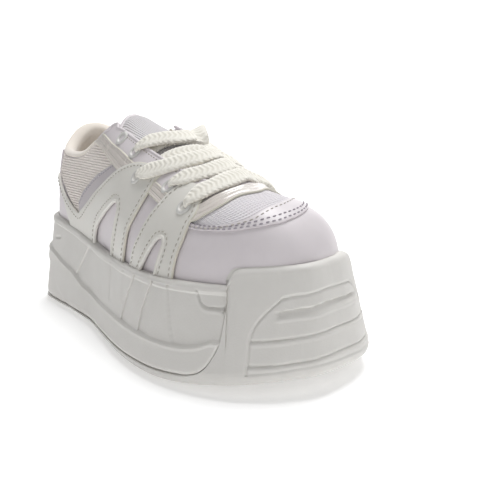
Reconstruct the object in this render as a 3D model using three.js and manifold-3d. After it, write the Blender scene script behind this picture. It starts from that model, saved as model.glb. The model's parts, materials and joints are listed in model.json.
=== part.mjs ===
// Platform sneaker, right shoe, low cut, standing on its sole.
// Millimetres, +X to the toe, +Y to the medial side, +Z up, floor at z = 0.
// Every table gives its stations as the distance from the back of the heel; the finished
// shoe is moved back by half its length, so that the origin lies under its middle.
import * as THREE from 'three';
import { mergeVertices } from 'three/addons/utils/BufferGeometryUtils.js';
import Module from 'manifold-3d';

const wasm = await Module();
wasm.setup();

// ---------------------------------------------------------------- driving dimensions
const SOLE_LENGTH = 280;
const BALL_HALF_WIDTH = 55.5;
const UPPER_HEEL = 11.5; // back of the upper, from the back of the sole
const UPPER_TOE = 269; // tip of the upper
const UPPER_INSET = 11.5; // upper inside the sole's edge, at the ball
const WALL = 2.5; // leather and mesh with their lining
const COLLAR_PAD = 3.5; // extra thickness of the padded collar
const GAP = 0.3; // play between pieces that touch
const WALL_FLARE = 0.17; // the sole's wall leans out by this much for each mm downwards
const FLARE_START = 8; // height above the tread where the lean begins
const TOE_SPRING = 8.8;
const TOE_SPRING_START = 190;
const SOLE_TOP = 62; // the sole is cut from a form of this height
const GUARD_BACK = 256.5; // rear edge of the toe guard, that the outsole turns up into
const GUARD_WALL = 3.8;
const CORE_TOP = 45; // top of the foam behind the toe guard
const RUBBER = 3.5; // thickness of the outsole under the foot
const INSOLE_THICKNESS = 5.5;
const EYELET = { hole: 1.9, barrel: 2.5, flange: 4.1, flangeHeight: 0.8 };
const LACE = { width: 8.6, thickness: 1.8, lift: 1.5, sunk: -3.3, clear: 3 };
const EYELET_SEGMENTS = 12;
const GROOVE = { width: 3.2, depth: 2, border: 9 };
const HEEL_GROOVES = { count: 5, from: 22, to: 82 };
const FOREFOOT_GROOVES = { count: 8, from: 152, to: 256 };
const WAIST = { x: 117, y: 2.5, length: 38, width: 52, depth: 1.5 }; // shallow, without lugs
const PARTING_FRONT = 44; // height where the rubber's line meets the guard's rear edge
const CLEAR_OF_SOLE = 5; // how far a cutting form reaches past what it cuts

// ---------------------------------------------------------------- tables
const table = (columns, rows) =>
  Object.fromEntries(columns.map((name, k) => [name, rows.map((row) => row[k])]));

// Half widths of the sole at its widest, with the toe turned to the medial side.
const OUTLINE = table(['x', 'lateral', 'medial'], [
  [4, 22.3, 22.3],
  [12, 34.5, 34.5],
  [26, 42.6, 41.8],
  [45, 43.6, 43.4],
  [75, 42.9, 40.4],
  [105, 44.2, 39.2],
  [140, 49.8, 44.4],
  [170, 54.2, 51.2],
  [195, BALL_HALF_WIDTH, 54.9],
  [220, 53.6, BALL_HALF_WIDTH],
  [243, 46.0, 51.8],
  [260, 35.4, 43.0],
  [272, 21.4, 28.2],
  [277.5, 9.6, 13.6],
]);

// Heights along the sole: the foam's rim, the foot bed and the line between rubber and foam.
const SOLE_HEIGHTS = table(['x', 'rim', 'bed', 'rubber'], [
  [0, 61, 48, RUBBER],
  [50, 56.5, 47, RUBBER],
  [90, 51.5, 43, 3.8],
  [120, 49, 40, 4.6],
  [165, 49.2, 37, 5.4],
  [200, 50, 36, 6],
  [220, 50.5, 36.3, 6.8],
  [236, 51, 37, 8.2],
  [242.5, 51.3, 37.5, 10],
  [247, 51.5, 37.8, 13],
  [251.3, 51.6, 38, 19.2],
  [253.9, 51.7, 38, 25.2],
  [255.7, 51.8, 38.1, 36],
  [280, 52, 39, 36],
]);

// How much of the wall's lean each stretch has: less beside the narrow heel, where the foam
// keeps its thickness at the rim.
const LEAN_SHARE = table(['x', 'share'], [
  [0, 1],
  [10, 0.95],
  [25, 0.8],
  [110, 0.8],
  [150, 1],
]);

// Toe guard's top edge, with its round rear corner.
const GUARD_TOP = table(['x', 'z'], [
  [GUARD_BACK, 54],
  [257.6, 56.4],
  [259.5, 58.8],
  [262, 59.8],
  [281, 61],
]);

// Sections of the upper: base and ridge heights, and how square each section is,
// in width and in height.
const SECTIONS = table(['x', 'base', 'ridge', 'squareWide', 'squareHigh'], [
  [12, 55, 128, 2.0, 2.0],
  [45, 52.5, 136, 2.0, 2.0],
  [75, 49, 138, 2.0, 2.0],
  [95, 47, 132, 2.2, 2.2],
  [115, 45.5, 122.5, 2.5, 2.3],
  [135, 45, 117.5, 2.4, 2.2],
  [160, 45, 110.5, 2.3, 2.0],
  [185, 46, 103, 2.2, 1.95],
  [205, 47, 96.5, 2.2, 1.95],
  [222, 48.5, 91.5, 2.2, 2.0],
  [240, 50.5, 88.5, 2.4, 2.2],
  [268, 55, 88.5, 2.5, 2.3],
]);
const TOE_ROUNDING = { start: 226, power: 2.6, root: 2.2 };
const HEEL_LEAN = { amount: 9, from: 55, height: 60, reach: 70 };

// Top line of the collar, from the heel tab to the upper end of the eyelet stay.
const COLLAR = table(['x', 'z'], [
  [5, 119.5],
  [17, 118.5],
  [23, 113.5],
  [30, 105.5],
  [38, 101],
  [48, 99],
  [60, 98.8],
  [72, 100.6],
  [80, 104.4],
  [89, 109],
  [97, 113.8],
  [103, 117.2],
  [108, 119],
  [113, 126],
]);

// Half width of the throat between the two eyelet stays, which ends in a round front.
const THROAT = table(['x', 'half'], [
  [85, 18.6],
  [104, 18.6],
  [115, 17.6],
  [130, 18.4],
  [150, 19.2],
  [175, 19],
  [195, 17.2],
  [205, 14.8],
  [210, 12],
  [213, 8.4],
  [214.5, 4],
]);
const THROAT_FLOOR = 74; // the throat is cut down to this height, inside the hollow

// Tongue: how deep it lies under the upper's outer face, its thickness and its half width,
// as a share of the way from the ridge down to the base.
const TONGUE = table(['x', 'depth', 'thick', 'share'], [
  [93.5, 10, 2.5, 0.2],
  [95, 8.4, 5.5, 0.3],
  [99, 7, 7.5, 0.36],
  [106, 5.4, 8, 0.39],
  [118, 4, 7, 0.42],
  [140, 3.7, 5, 0.45],
  [175, 3.7, 4, 0.45],
  [205, 3.7, 3.5, 0.42],
  [222, 3.7, 3, 0.36],
]);

// Eyelet centres: station along the upper and share of the way down from the ridge.
const EYELETS = table(['x', 'share'], [
  [119.8, 0.335],
  [141.7, 0.355],
  [158.4, 0.475],
  [188.5, 0.403],
  [210.5, 0.463],
]);

// ---------------------------------------------------------------- curves
// Smooth curve through a column of a table, without overshoot between its rows.
function curve(xs, ys) {
  const slopes = xs.slice(1).map((x, k) => (ys[k + 1] - ys[k]) / (x - xs[k]));
  const tangents = xs.map((_, k) => {
    const before = slopes[Math.max(k - 1, 0)];
    const after = slopes[Math.min(k, slopes.length - 1)];
    return before * after <= 0 ? 0 : (2 * before * after) / (before + after);
  });
  return (x) => {
    if (x <= xs[0]) return ys[0];
    if (x >= xs[xs.length - 1]) return ys[ys.length - 1];
    const k = xs.findIndex((next) => next > x) - 1;
    const span = xs[k + 1] - xs[k];
    const t = (x - xs[k]) / span;
    const rise = ys[k + 1] - ys[k];
    const bend = (1 - t) * (tangents[k] * span - rise) + t * (rise - tangents[k + 1] * span);
    return ys[k] + t * rise + t * (1 - t) * bend;
  };
}

// Half width along the sole: round at both ends, because the table is shared out over the
// half ellipse on the same length.
function roundedHalfWidth(column) {
  const ellipse = (x) => Math.sqrt(Math.max(x * (SOLE_LENGTH - x), 0)) / (SOLE_LENGTH / 2);
  const ratios = OUTLINE.x.map((x, k) => OUTLINE[column][k] / ellipse(x));
  const ratio = curve(OUTLINE.x, ratios);
  return (x) => ratio(x) * ellipse(x);
}

const halfWidths = { '-1': roundedHalfWidth('lateral'), 1: roundedHalfWidth('medial') };
const rimHeight = curve(SOLE_HEIGHTS.x, SOLE_HEIGHTS.rim);
const bedHeight = curve(SOLE_HEIGHTS.x, SOLE_HEIGHTS.bed);
const rubberHeight = curve(SOLE_HEIGHTS.x, SOLE_HEIGHTS.rubber);
const leanShare = curve(LEAN_SHARE.x, LEAN_SHARE.share);
const guardTop = curve(GUARD_TOP.x, GUARD_TOP.z);
const collarHeight = curve(COLLAR.x, COLLAR.z);
const throatHalf = curve(THROAT.x, THROAT.half);

function treadHeight(x) {
  const along = Math.max(x - TOE_SPRING_START, 0) / (SOLE_LENGTH - TOE_SPRING_START);
  return TOE_SPRING * along ** 2;
}

// ---------------------------------------------------------------- solids
// A welded solid from points and triangles, turned so that its faces point out.
function solidFrom(positions, triangles) {
  const loose = new THREE.BufferGeometry();
  loose.setAttribute('position', new THREE.Float32BufferAttribute(positions, 3));
  loose.setIndex(triangles);
  const welded = mergeVertices(loose, 1e-4);
  const at = welded.attributes.position;
  const index = [];
  const [a, b, c] = [new THREE.Vector3(), new THREE.Vector3(), new THREE.Vector3()];
  let volume = 0;
  for (let k = 0; k < welded.index.count; k += 3) {
    const [i, j, l] = [0, 1, 2].map((step) => welded.index.getX(k + step));
    if (i === j || j === l || l === i) continue;
    index.push(i, j, l);
    a.fromBufferAttribute(at, i);
    b.fromBufferAttribute(at, j);
    c.fromBufferAttribute(at, l);
    volume += a.dot(b.cross(c));
  }
  if (volume < 0) index.reverse();
  return new wasm.Manifold(new wasm.Mesh({
    numProp: 3,
    vertProperties: new Float32Array(at.array),
    triVerts: new Uint32Array(index),
  }));
}

// A loft through closed rings with the same number of points. Each end is closed with a
// strip between the ring's first half and its second half.
function loft(rings) {
  const count = rings[0].length;
  const positions = rings.flat().flatMap((p) => [p.x, p.y, p.z]);
  const triangles = [];
  for (let r = 0; r + 1 < rings.length; r += 1) {
    for (let k = 0; k < count; k += 1) {
      const next = (k + 1) % count;
      const [p, q] = [r * count + k, r * count + next];
      triangles.push(p, q, q + count, p, q + count, p + count);
    }
  }
  const closeEnd = (start, flip) => {
    for (let k = 0; 2 * k + 3 <= count; k += 1) {
      const [p, q] = [start + k, start + k + 1];
      const [s, t] = [start + count - 1 - k, start + count - 2 - k];
      const strip = [p, s, q, q, s, t];
      triangles.push(...(flip ? strip.reverse() : strip));
    }
  };
  closeEnd(0, false);
  closeEnd((rings.length - 1) * count, true);
  return solidFrom(positions, triangles);
}

// A prism: an outline drawn in a plane and extruded both ways along the plane's normal.
function prism(outline, reach, place) {
  const shape = new THREE.Shape(outline.map(([u, v]) => new THREE.Vector2(u, v)));
  const solid = new THREE.ExtrudeGeometry(shape, { depth: 2 * reach, bevelEnabled: false });
  solid.translate(0, 0, -reach);
  place(solid);
  solid.deleteAttribute('normal');
  solid.deleteAttribute('uv');
  const merged = mergeVertices(solid, 1e-4);
  return solidFrom([...merged.attributes.position.array], [...merged.index.array]);
}

const PRISM_REACH = 90;
const sidePrism = (outline) => prism(outline, PRISM_REACH, (solid) => solid.rotateX(Math.PI / 2));

const even = (count, from, to) =>
  Array.from({ length: count + 1 }, (_, k) => from + ((to - from) * k) / count);

// Stations that crowd towards both ends, where an outline turns fastest.
const crowded = (count, from, to) =>
  even(count, 0, Math.PI).map((turn) => from + ((to - from) * (1 - Math.cos(turn))) / 2);

// ---------------------------------------------------------------- sole
const SOLE_STATIONS = 30;

// A ring round the sole, from a rule that gives the inset and the height at each station.
function soleRing(insetAt, heightAt) {
  const stations = crowded(SOLE_STATIONS, 0, SOLE_LENGTH);
  const edge = (side) => stations.map((x) => {
    const inset = insetAt(x);
    const half = halfWidths[side](x);
    const endInset = inset * (1 - (2 * x) / SOLE_LENGTH);
    const y = side * Math.max(half - inset * Math.min(half / 20, 1), 0);
    return new THREE.Vector3(x + endInset, y, heightAt(x));
  });
  return [...edge(-1), ...edge(1).slice(1, -1).reverse()];
}

const flareInset = (x, z) =>
  leanShare(x) * WALL_FLARE * Math.max(z - treadHeight(x) - FLARE_START, 0);

// The whole sole, solid, with its rounded lower edge, before it is divided.
function soleForm() {
  const edge = [[0, 4.2], [1.2, 1.7], [3, 0.5], [6, 0], [FLARE_START, 0]];
  const rings = edge.map(([height, inset]) =>
    soleRing(() => inset, (x) => treadHeight(x) + height));
  rings.push(soleRing((x) => flareInset(x, SOLE_TOP), () => SOLE_TOP));
  return loft(rings);
}

// The foam inside the toe guard. The outsole is cut with the same form, made larger.
function toeCore(play) {
  const inset = GUARD_WALL - play;
  const low = RUBBER + 1 - play;
  return loft([
    soleRing(() => inset + 1.5, (x) => treadHeight(x) + low),
    soleRing(() => inset, (x) => treadHeight(x) + FLARE_START),
    soleRing((x) => inset + flareInset(x, CORE_TOP), () => CORE_TOP + play),
  ]);
}

// A ring with the upper's own outline, larger by the given play.
function upperRing(play, heightAt) {
  const stations = crowded(SOLE_STATIONS, 0, 1);
  const edge = (side) => stations.map((share) => {
    const x = UPPER_HEEL - play + share * (UPPER_TOE - UPPER_HEEL + 2 * play);
    const half = upperHalf(share * SOLE_LENGTH, side);
    const y = side * Math.max(half + play * Math.min(half / 20, 1), 0);
    return new THREE.Vector3(x, y, heightAt(x));
  });
  return [...edge(-1), ...edge(1).slice(1, -1).reverse()];
}

function upperHalf(stretched, side) {
  return halfWidths[side](stretched) * (1 - UPPER_INSET / BALL_HALF_WIDTH);
}

// The hollow that the upper stands in.
function cavity() {
  return loft([upperRing(GAP, bedHeight), upperRing(GAP, () => SOLE_TOP + CLEAR_OF_SOLE)]);
}

const foamStations = [...even(24, -2, 238), 242.5, 247, 250, 252.5, 254, 255.7];

// Side profile of the foam, between the rubber's line and the rim.
function foamProfile() {
  const half = GAP / 2;
  const low = foamStations.map((x) => [x, rubberHeight(x) + half]);
  const front = GUARD_BACK - GAP;
  const high = even(25, -2, front).reverse().map((x) => [x, rimHeight(x)]);
  return [...low, [front, PARTING_FRONT], ...high];
}

// Side profile of the rubber: under the foam, then up in front of it as the toe guard.
function rubberProfile() {
  const half = GAP / 2;
  const low = foamStations.map((x) => [x, rubberHeight(x) - half]).reverse();
  const crown = GUARD_TOP.x.map((x) => [x, guardTop(x)]).reverse();
  const [back, front] = [foamStations[0], SOLE_LENGTH + 2];
  const floor = [[back, -CLEAR_OF_SOLE], [front, -CLEAR_OF_SOLE]];
  return [...floor, ...crown, [GUARD_BACK, PARTING_FRONT], ...low];
}

// Grooves across the tread, from border to border, and the shallow waist without lugs.
function treadCuts() {
  const grooves = [HEEL_GROOVES, FOREFOOT_GROOVES].flatMap(
    ({ count, from, to }) => even(count, from, to),
  ).map((x) => {
    const low = treadHeight(x) - CLEAR_OF_SOLE;
    const high = treadHeight(x) + GROOVE.depth;
    const lateral = -halfWidths[-1](x) + GROOVE.border;
    const medial = halfWidths[1](x) - GROOVE.border;
    const box = new THREE.BoxGeometry(GROOVE.width, medial - lateral, high - low);
    box.translate(x, (medial + lateral) / 2, (high + low) / 2);
    return box;
  });
  const waist = new THREE.BoxGeometry(WAIST.length, WAIST.width, 2 * CLEAR_OF_SOLE);
  waist.translate(WAIST.x, WAIST.y, WAIST.depth - CLEAR_OF_SOLE);
  return [...grooves, waist].map((box) => {
    box.deleteAttribute('normal');
    box.deleteAttribute('uv');
    const merged = mergeVertices(box, 1e-4);
    return solidFrom([...merged.attributes.position.array], [...merged.index.array]);
  });
}

function buildSole() {
  const form = soleForm();
  const hollow = cavity();
  const foam = form.intersect(sidePrism(foamProfile())).add(toeCore(0)).subtract(hollow);
  let rubber = form.intersect(sidePrism(rubberProfile())).subtract(toeCore(GAP));
  rubber = rubber.subtract(hollow);
  treadCuts().forEach((cut) => {
    rubber = rubber.subtract(cut);
  });
  return { midsole: foam, outsole: rubber };
}

// ---------------------------------------------------------------- upper
const baseHeight = curve(SECTIONS.x, SECTIONS.base);
const ridgeHeight = curve(SECTIONS.x, SECTIONS.ridge);
const squareWide = curve(SECTIONS.x, SECTIONS.squareWide);
const squareHigh = curve(SECTIONS.x, SECTIONS.squareHigh);

// Forward shift of the heel's back towards the collar.
function heelLean(x, z) {
  const up = Math.min(Math.max((z - HEEL_LEAN.from) / HEEL_LEAN.height, 0), 1.2);
  const near = Math.max(1 - (x - UPPER_HEEL) / HEEL_LEAN.reach, 0);
  return HEEL_LEAN.amount * up ** 1.3 * near ** 1.5;
}

// Padding that swells the wall inwards under the collar.
function collarPad(x, z) {
  const up = THREE.MathUtils.smoothstep(z, 72, 96);
  const back = 1 - THREE.MathUtils.smoothstep(x, 72, 88);
  return COLLAR_PAD * up * back;
}

// The last's surface, drawn in by `inset`. `along` runs from 0 at the heel to 1 at the toe,
// and `share` from -1 at the lateral base over the ridge at 0 to 1 at the medial base.
function lastPoint(along, share, inset = 0, padded = false) {
  const x = UPPER_HEEL + inset + along * (UPPER_TOE - UPPER_HEEL - 2 * inset);
  const side = share < 0 ? -1 : 1;
  const turn = (Math.PI / 2) * (1 - Math.abs(share));
  const round = Math.min(Math.max((x - TOE_ROUNDING.start) / (UPPER_TOE - TOE_ROUNDING.start), 0), 1);
  const base = baseHeight(x);
  const fall = (1 - round ** TOE_ROUNDING.power) ** (1 / TOE_ROUNDING.root);
  const ridge = base + (ridgeHeight(x) - base) * fall - inset;
  const z = base + Math.max(ridge - base, 0) * Math.sin(turn) ** (2 / squareHigh(x));
  const pad = padded ? collarPad(x, z) : 0;
  const full = upperHalf(along * SOLE_LENGTH, side);
  const half = Math.max(full - (inset + pad) * Math.min(full / 20, 1), 0);
  const y = side * half * Math.cos(turn) ** (2 / squareWide(x));
  const padShift = pad * Math.max(1 - (x - UPPER_HEEL) / 40, 0);
  return new THREE.Vector3(x + heelLean(x, z) + padShift, y, z);
}

const alongAt = (x) => (x - UPPER_HEEL) / (UPPER_TOE - UPPER_HEEL);
const onLast = (x, share) => lastPoint(alongAt(x), share);

// Outward normal of the last's surface.
function lastNormal(x, share) {
  const step = 0.02;
  const forward = onLast(x + 1, share).sub(onLast(x - 1, share));
  const around = onLast(x, share + step).sub(onLast(x, share - step));
  return forward.cross(around).normalize();
}

const offLast = (x, share, lift) =>
  onLast(x, share).addScaledVector(lastNormal(x, share), lift);

const UPPER_STATIONS = 32;
const UPPER_ARC = 20;

// The last as a solid, with a skirt below its base that reaches `skirtAt` inside the sole.
function lastForm(inset, padded, skirtAt) {
  const rings = crowded(UPPER_STATIONS, 0, 1).map((along) => {
    const arc = even(UPPER_ARC, -1, 1).map((share) => lastPoint(along, share, inset, padded));
    const foot = (p) => new THREE.Vector3(p.x, p.y, skirtAt(p.x));
    return [foot(arc[0]), ...arc, foot(arc[arc.length - 1])];
  });
  return loft(rings);
}

function collarCut() {
  const line = even(27, 5, 113).map((x) => [x, collarHeight(x)]);
  return sidePrism([...line, [113, 160], [-5, 160], [-5, COLLAR.z[0]]]);
}

function throatCut() {
  const stations = [...even(11, 85, 195), 200, 205, 208, 210.5, 212.5, 213.7, 214.5];
  const lateral = stations.map((x) => [x, -throatHalf(x)]);
  const medial = stations.map((x) => [x, throatHalf(x)]).reverse();
  const reach = 40;
  return prism([...lateral, ...medial], reach, (solid) =>
    solid.translate(0, 0, THROAT_FLOOR + reach));
}

// Turns a shape that is built on +Z to stand on the last at an eyelet.
function placeOnLast(geometry, x, share) {
  const facing = new THREE.Quaternion();
  facing.setFromUnitVectors(new THREE.Vector3(0, 0, 1), lastNormal(x, share));
  const place = new THREE.Matrix4().compose(onLast(x, share), facing, new THREE.Vector3(1, 1, 1));
  return geometry.applyMatrix4(place);
}

// A solid turned about Z from a closed profile of radius and height.
function turned(profile, segments) {
  const lathe = new THREE.LatheGeometry(profile.map(([r, z]) => new THREE.Vector2(r, z)), segments);
  lathe.rotateX(Math.PI / 2);
  lathe.deleteAttribute('normal');
  lathe.deleteAttribute('uv');
  return mergeVertices(lathe, 1e-4);
}

const solidOf = (geometry) =>
  solidFrom([...geometry.attributes.position.array], [...geometry.index.array]);

const eyeletPlaces = [-1, 1].flatMap((side) => EYELETS.x.map((x, k) => ({
  name: `eyelet_${side < 0 ? 'lateral' : 'medial'}_${k + 1}`,
  x,
  share: side * EYELETS.share[k],
})));

function eyeletHole({ x, share }) {
  const radius = EYELET.barrel + GAP;
  const bit = turned([[0, -6], [radius, -6], [radius, 6], [0, 6]], EYELET_SEGMENTS);
  return solidOf(placeOnLast(bit, x, share));
}

function buildEyelet({ x, share }) {
  const top = GAP + EYELET.flangeHeight;
  const ring = turned([
    [EYELET.hole, -WALL - 0.6],
    [EYELET.barrel, -WALL - 0.6],
    [EYELET.barrel, GAP],
    [EYELET.flange, GAP],
    [EYELET.flange - 0.3, top - 0.2],
    [EYELET.flange - 0.9, top],
    [EYELET.hole + 0.5, top],
    [EYELET.hole, top - 0.4],
    [EYELET.hole, -WALL - 0.6],
  ], EYELET_SEGMENTS);
  return solidOf(placeOnLast(ring, x, share));
}

function buildUpper() {
  const skirt = (x) => bedHeight(x) + GAP;
  let shell = lastForm(0, false, skirt);
  shell = shell.subtract(lastForm(WALL, true, () => 20));
  shell = shell.subtract(collarCut()).subtract(throatCut());
  eyeletPlaces.forEach((place) => {
    shell = shell.subtract(eyeletHole(place));
  });
  return shell;
}

// ---------------------------------------------------------------- tongue and insole
const TONGUE_STATIONS = 22;
const TONGUE_ARC = 10;

function buildTongue() {
  const depth = curve(TONGUE.x, TONGUE.depth);
  const thick = curve(TONGUE.x, TONGUE.thick);
  const share = curve(TONGUE.x, TONGUE.share);
  const last = TONGUE.x[TONGUE.x.length - 1];
  const stations = [TONGUE.x[0], 94.3, ...even(TONGUE_STATIONS, 96, last)];
  return loft(stations.map((x) => {
    const across = even(TONGUE_ARC, -share(x), share(x));
    const front = across.map((s) => offLast(x, s, -depth(x)));
    const edgeThin = (s) => 1 - 0.55 * Math.abs(s / share(x)) ** 3;
    const back = across.map((s) => offLast(x, s, -depth(x) - thick(x) * edgeThin(s))).reverse();
    return [...front, ...back];
  }));
}

function buildInsole() {
  const inset = -(WALL + 1.5 * GAP);
  const low = (x) => bedHeight(x) + GAP;
  return loft([
    upperRing(inset, low),
    upperRing(inset, (x) => low(x) + INSOLE_THICKNESS - 1),
    upperRing(inset - 1, (x) => low(x) + INSOLE_THICKNESS),
  ]);
}

// ---------------------------------------------------------------- laces
// One flat run of the lace over the last, between two places given as station and share.
// `liftAt` gives its height over the last's surface along the run.
function laceRun(start, end, liftAt) {
  const rings = even(12, 0, 1).map((t) => {
    const at = (u) => [start[0] + (end[0] - start[0]) * u, start[1] + (end[1] - start[1]) * u];
    const [x, share] = at(t);
    const ahead = onLast(...at(t + 0.02)).sub(onLast(...at(t - 0.02))).normalize();
    const up = lastNormal(x, share);
    const across = up.clone().cross(ahead).normalize();
    const centre = onLast(x, share);
    const lift = liftAt(t);
    const corner = (side, height) => centre.clone()
      .addScaledVector(across, (side * LACE.width) / 2)
      .addScaledVector(up, height);
    const top = lift + LACE.thickness;
    return [corner(-1, lift), corner(1, lift), corner(1, top), corner(-1, top)];
  });
  return loft(rings);
}

// Where a run passes the edge of the opposite stay and goes under it.
const insideThroat = (x, side) => {
  const shares = even(100, 0, 0.6);
  const found = shares.find((share) => Math.abs(onLast(x, share).y) > throatHalf(x) - LACE.clear);
  return [x, side * found];
};

// A crossing: a run from each eyelet of one pair towards the next pair up, joined where
// they lie on each other. Each run leaves its eyelet over the stay and sinks to the tongue,
// to pass under the opposite stay. The last pair's runs are tucked in beside the tongue.
function buildCrossing(pair) {
  const upperPair = EYELETS.x[pair - 1];
  const sink = LACE.lift - LACE.sunk;
  const liftAt = (t) => LACE.lift - sink * THREE.MathUtils.smoothstep(t, 0.42, 1);
  const runs = [-1, 1].map((side) => {
    const start = [EYELETS.x[pair] - 1.5, side * (EYELETS.share[pair] - 0.03)];
    return laceRun(start, insideThroat(upperPair + 3, -side), liftAt);
  });
  return runs[0].add(runs[1]);
}

// The run between the front pair, which lies on the tongue under both stays.
function buildToeBar() {
  const x = EYELETS.x[EYELETS.x.length - 1] - 6;
  return laceRun(insideThroat(x, -1), insideThroat(x, 1), () => LACE.sunk);
}

// ---------------------------------------------------------------- assembly
const finish = {
  foam: { color: 0xdedcd8, roughness: 0.55, metalness: 0 },
  rubber: { color: 0xdad9d3, roughness: 0.5, metalness: 0 },
  leather: { color: 0xded9df, roughness: 0.4, metalness: 0 },
  mesh: { color: 0xe6e1e6, roughness: 0.85, metalness: 0 },
  lining: { color: 0xe4dad0, roughness: 0.9, metalness: 0 },
  eyelet: { color: 0xe6e6e8, roughness: 0.35, metalness: 0 },
  lace: { color: 0xe8e8df, roughness: 0.9, metalness: 0 },
};

function meshOf(name, solid, look) {
  const { vertProperties, triVerts } = solid.getMesh();
  const geometry = new THREE.BufferGeometry();
  geometry.setAttribute('position', new THREE.Float32BufferAttribute(vertProperties, 3));
  geometry.setIndex([...triVerts]);
  geometry.computeVertexNormals();
  const mesh = new THREE.Mesh(geometry, new THREE.MeshStandardMaterial(look));
  mesh.name = name;
  return mesh;
}

const shoe = new THREE.Group();
shoe.position.x = -SOLE_LENGTH / 2;

const { midsole, outsole } = buildSole();
shoe.add(meshOf('outsole', outsole, finish.rubber));
shoe.add(meshOf('midsole', midsole, finish.foam));
shoe.add(meshOf('insole', buildInsole(), finish.lining));
shoe.add(meshOf('upper', buildUpper(), finish.leather));
shoe.add(meshOf('tongue', buildTongue(), finish.mesh));
eyeletPlaces.forEach((place) => {
  shoe.add(meshOf(place.name, buildEyelet(place), finish.eyelet));
});
[1, 2, 3, 4].forEach((pair) => {
  shoe.add(meshOf(`lace_crossing_${pair}`, buildCrossing(pair), finish.lace));
});
shoe.add(meshOf('lace_toe_bar', buildToeBar(), finish.lace));

export default shoe;
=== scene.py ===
"""Looks of a pale lilac and white platform sneaker, right shoe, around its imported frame.

Lengths are in millimetres in the shoe's own stations: x from the back of the heel to the
toe, y to the medial side, z up from the floor. They become metres in the frame only when
a mesh gets its points.
"""
import json
import logging
import math
from dataclasses import dataclass
from enum import Enum
from typing import Callable, Sequence

import bpy
import numpy as np
from mathutils import Matrix, Vector

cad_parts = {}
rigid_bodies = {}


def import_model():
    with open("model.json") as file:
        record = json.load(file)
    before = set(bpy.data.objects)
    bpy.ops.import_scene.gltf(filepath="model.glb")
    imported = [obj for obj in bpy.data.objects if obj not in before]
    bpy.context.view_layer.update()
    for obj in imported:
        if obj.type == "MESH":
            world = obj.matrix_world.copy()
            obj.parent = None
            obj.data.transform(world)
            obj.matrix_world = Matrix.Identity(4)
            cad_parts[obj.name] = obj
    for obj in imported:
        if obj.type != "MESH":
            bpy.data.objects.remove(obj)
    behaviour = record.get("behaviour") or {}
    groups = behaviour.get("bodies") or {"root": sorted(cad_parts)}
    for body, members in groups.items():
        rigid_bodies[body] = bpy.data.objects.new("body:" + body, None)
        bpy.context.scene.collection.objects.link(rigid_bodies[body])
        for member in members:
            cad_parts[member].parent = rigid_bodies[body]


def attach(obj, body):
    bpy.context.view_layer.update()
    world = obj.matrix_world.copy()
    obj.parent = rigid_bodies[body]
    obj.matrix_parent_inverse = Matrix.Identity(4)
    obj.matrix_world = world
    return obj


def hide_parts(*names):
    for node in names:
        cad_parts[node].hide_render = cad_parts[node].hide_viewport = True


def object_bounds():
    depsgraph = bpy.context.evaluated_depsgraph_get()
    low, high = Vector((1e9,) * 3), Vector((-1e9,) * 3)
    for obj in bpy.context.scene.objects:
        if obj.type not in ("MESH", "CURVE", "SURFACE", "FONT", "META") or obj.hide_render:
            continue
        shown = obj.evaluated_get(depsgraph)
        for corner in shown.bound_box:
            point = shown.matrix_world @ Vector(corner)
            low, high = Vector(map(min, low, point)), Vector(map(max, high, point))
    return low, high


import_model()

LOG = logging.getLogger("sneaker")
MM = 0.001
CAD_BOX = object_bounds()
HEEL_X = CAD_BOX[0][0] / MM
SOLE_LENGTH = (CAD_BOX[1][0] - CAD_BOX[0][0]) / MM
BODY = "root"
SHARE_MM = 90.0  # millimetres on the flat pattern for one share of the last
MEDIAL_BACK = 9.0  # how much further back the medial pieces sit
FLAT = np.array([1.0, SHARE_MM])
Array = np.ndarray
Piece = bpy.types.Object
Rows = tuple[tuple[float, float], ...]
Place = Callable[[Array, Array], Array]


class Side(Enum):
    """The two sides of a right shoe, with the sign of y on each."""

    LATERAL = -1
    MEDIAL = 1

    @property
    def word(self) -> str:
        """Name of the side in lower case."""
        return self.name.lower()


# ------------------------------------------------------------------ curves


@dataclass(frozen=True)
class Profile:
    """A smooth curve through rows of (station, value), without overshoot."""

    rows: Rows

    def __call__(self, at: Array | float) -> Array:
        """Value of the curve.

        Args:
            at: Station or stations; past the ends the end values hold.

        Returns:
            The values, with the shape of `at`.
        """
        xs, ys = np.array(self.rows, float).T
        slopes = np.diff(ys) / np.diff(xs)
        before = np.concatenate([slopes[:1], slopes])
        after = np.concatenate([slopes, slopes[-1:]])
        product = before * after
        total = np.where(np.abs(before + after) < 1e-12, 1.0, before + after)
        tangents = np.where(product > 0, 2 * product / total, 0.0)
        at = np.clip(np.asarray(at, float), xs[0], xs[-1])
        k = np.clip(np.searchsorted(xs, at, side="right") - 1, 0, len(xs) - 2)
        span = xs[k + 1] - xs[k]
        t = (at - xs[k]) / span
        rise = ys[k + 1] - ys[k]
        bend = (1 - t) * (tangents[k] * span - rise) + t * (rise - tangents[k + 1] * span)
        return ys[k] + t * rise + t * (1 - t) * bend


def smoothstep(low: float, high: float, at: Array | float) -> Array:
    """Smooth rise from 0 at `low` to 1 at `high`."""
    t = np.clip((np.asarray(at, float) - low) / (high - low), 0, 1)
    return t * t * (3 - 2 * t)


def run_along(line: Array) -> Array:
    """Length from the start of a line to each of its points."""
    return np.concatenate([[0], np.cumsum(np.linalg.norm(np.diff(line, axis=0), axis=1))])


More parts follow.
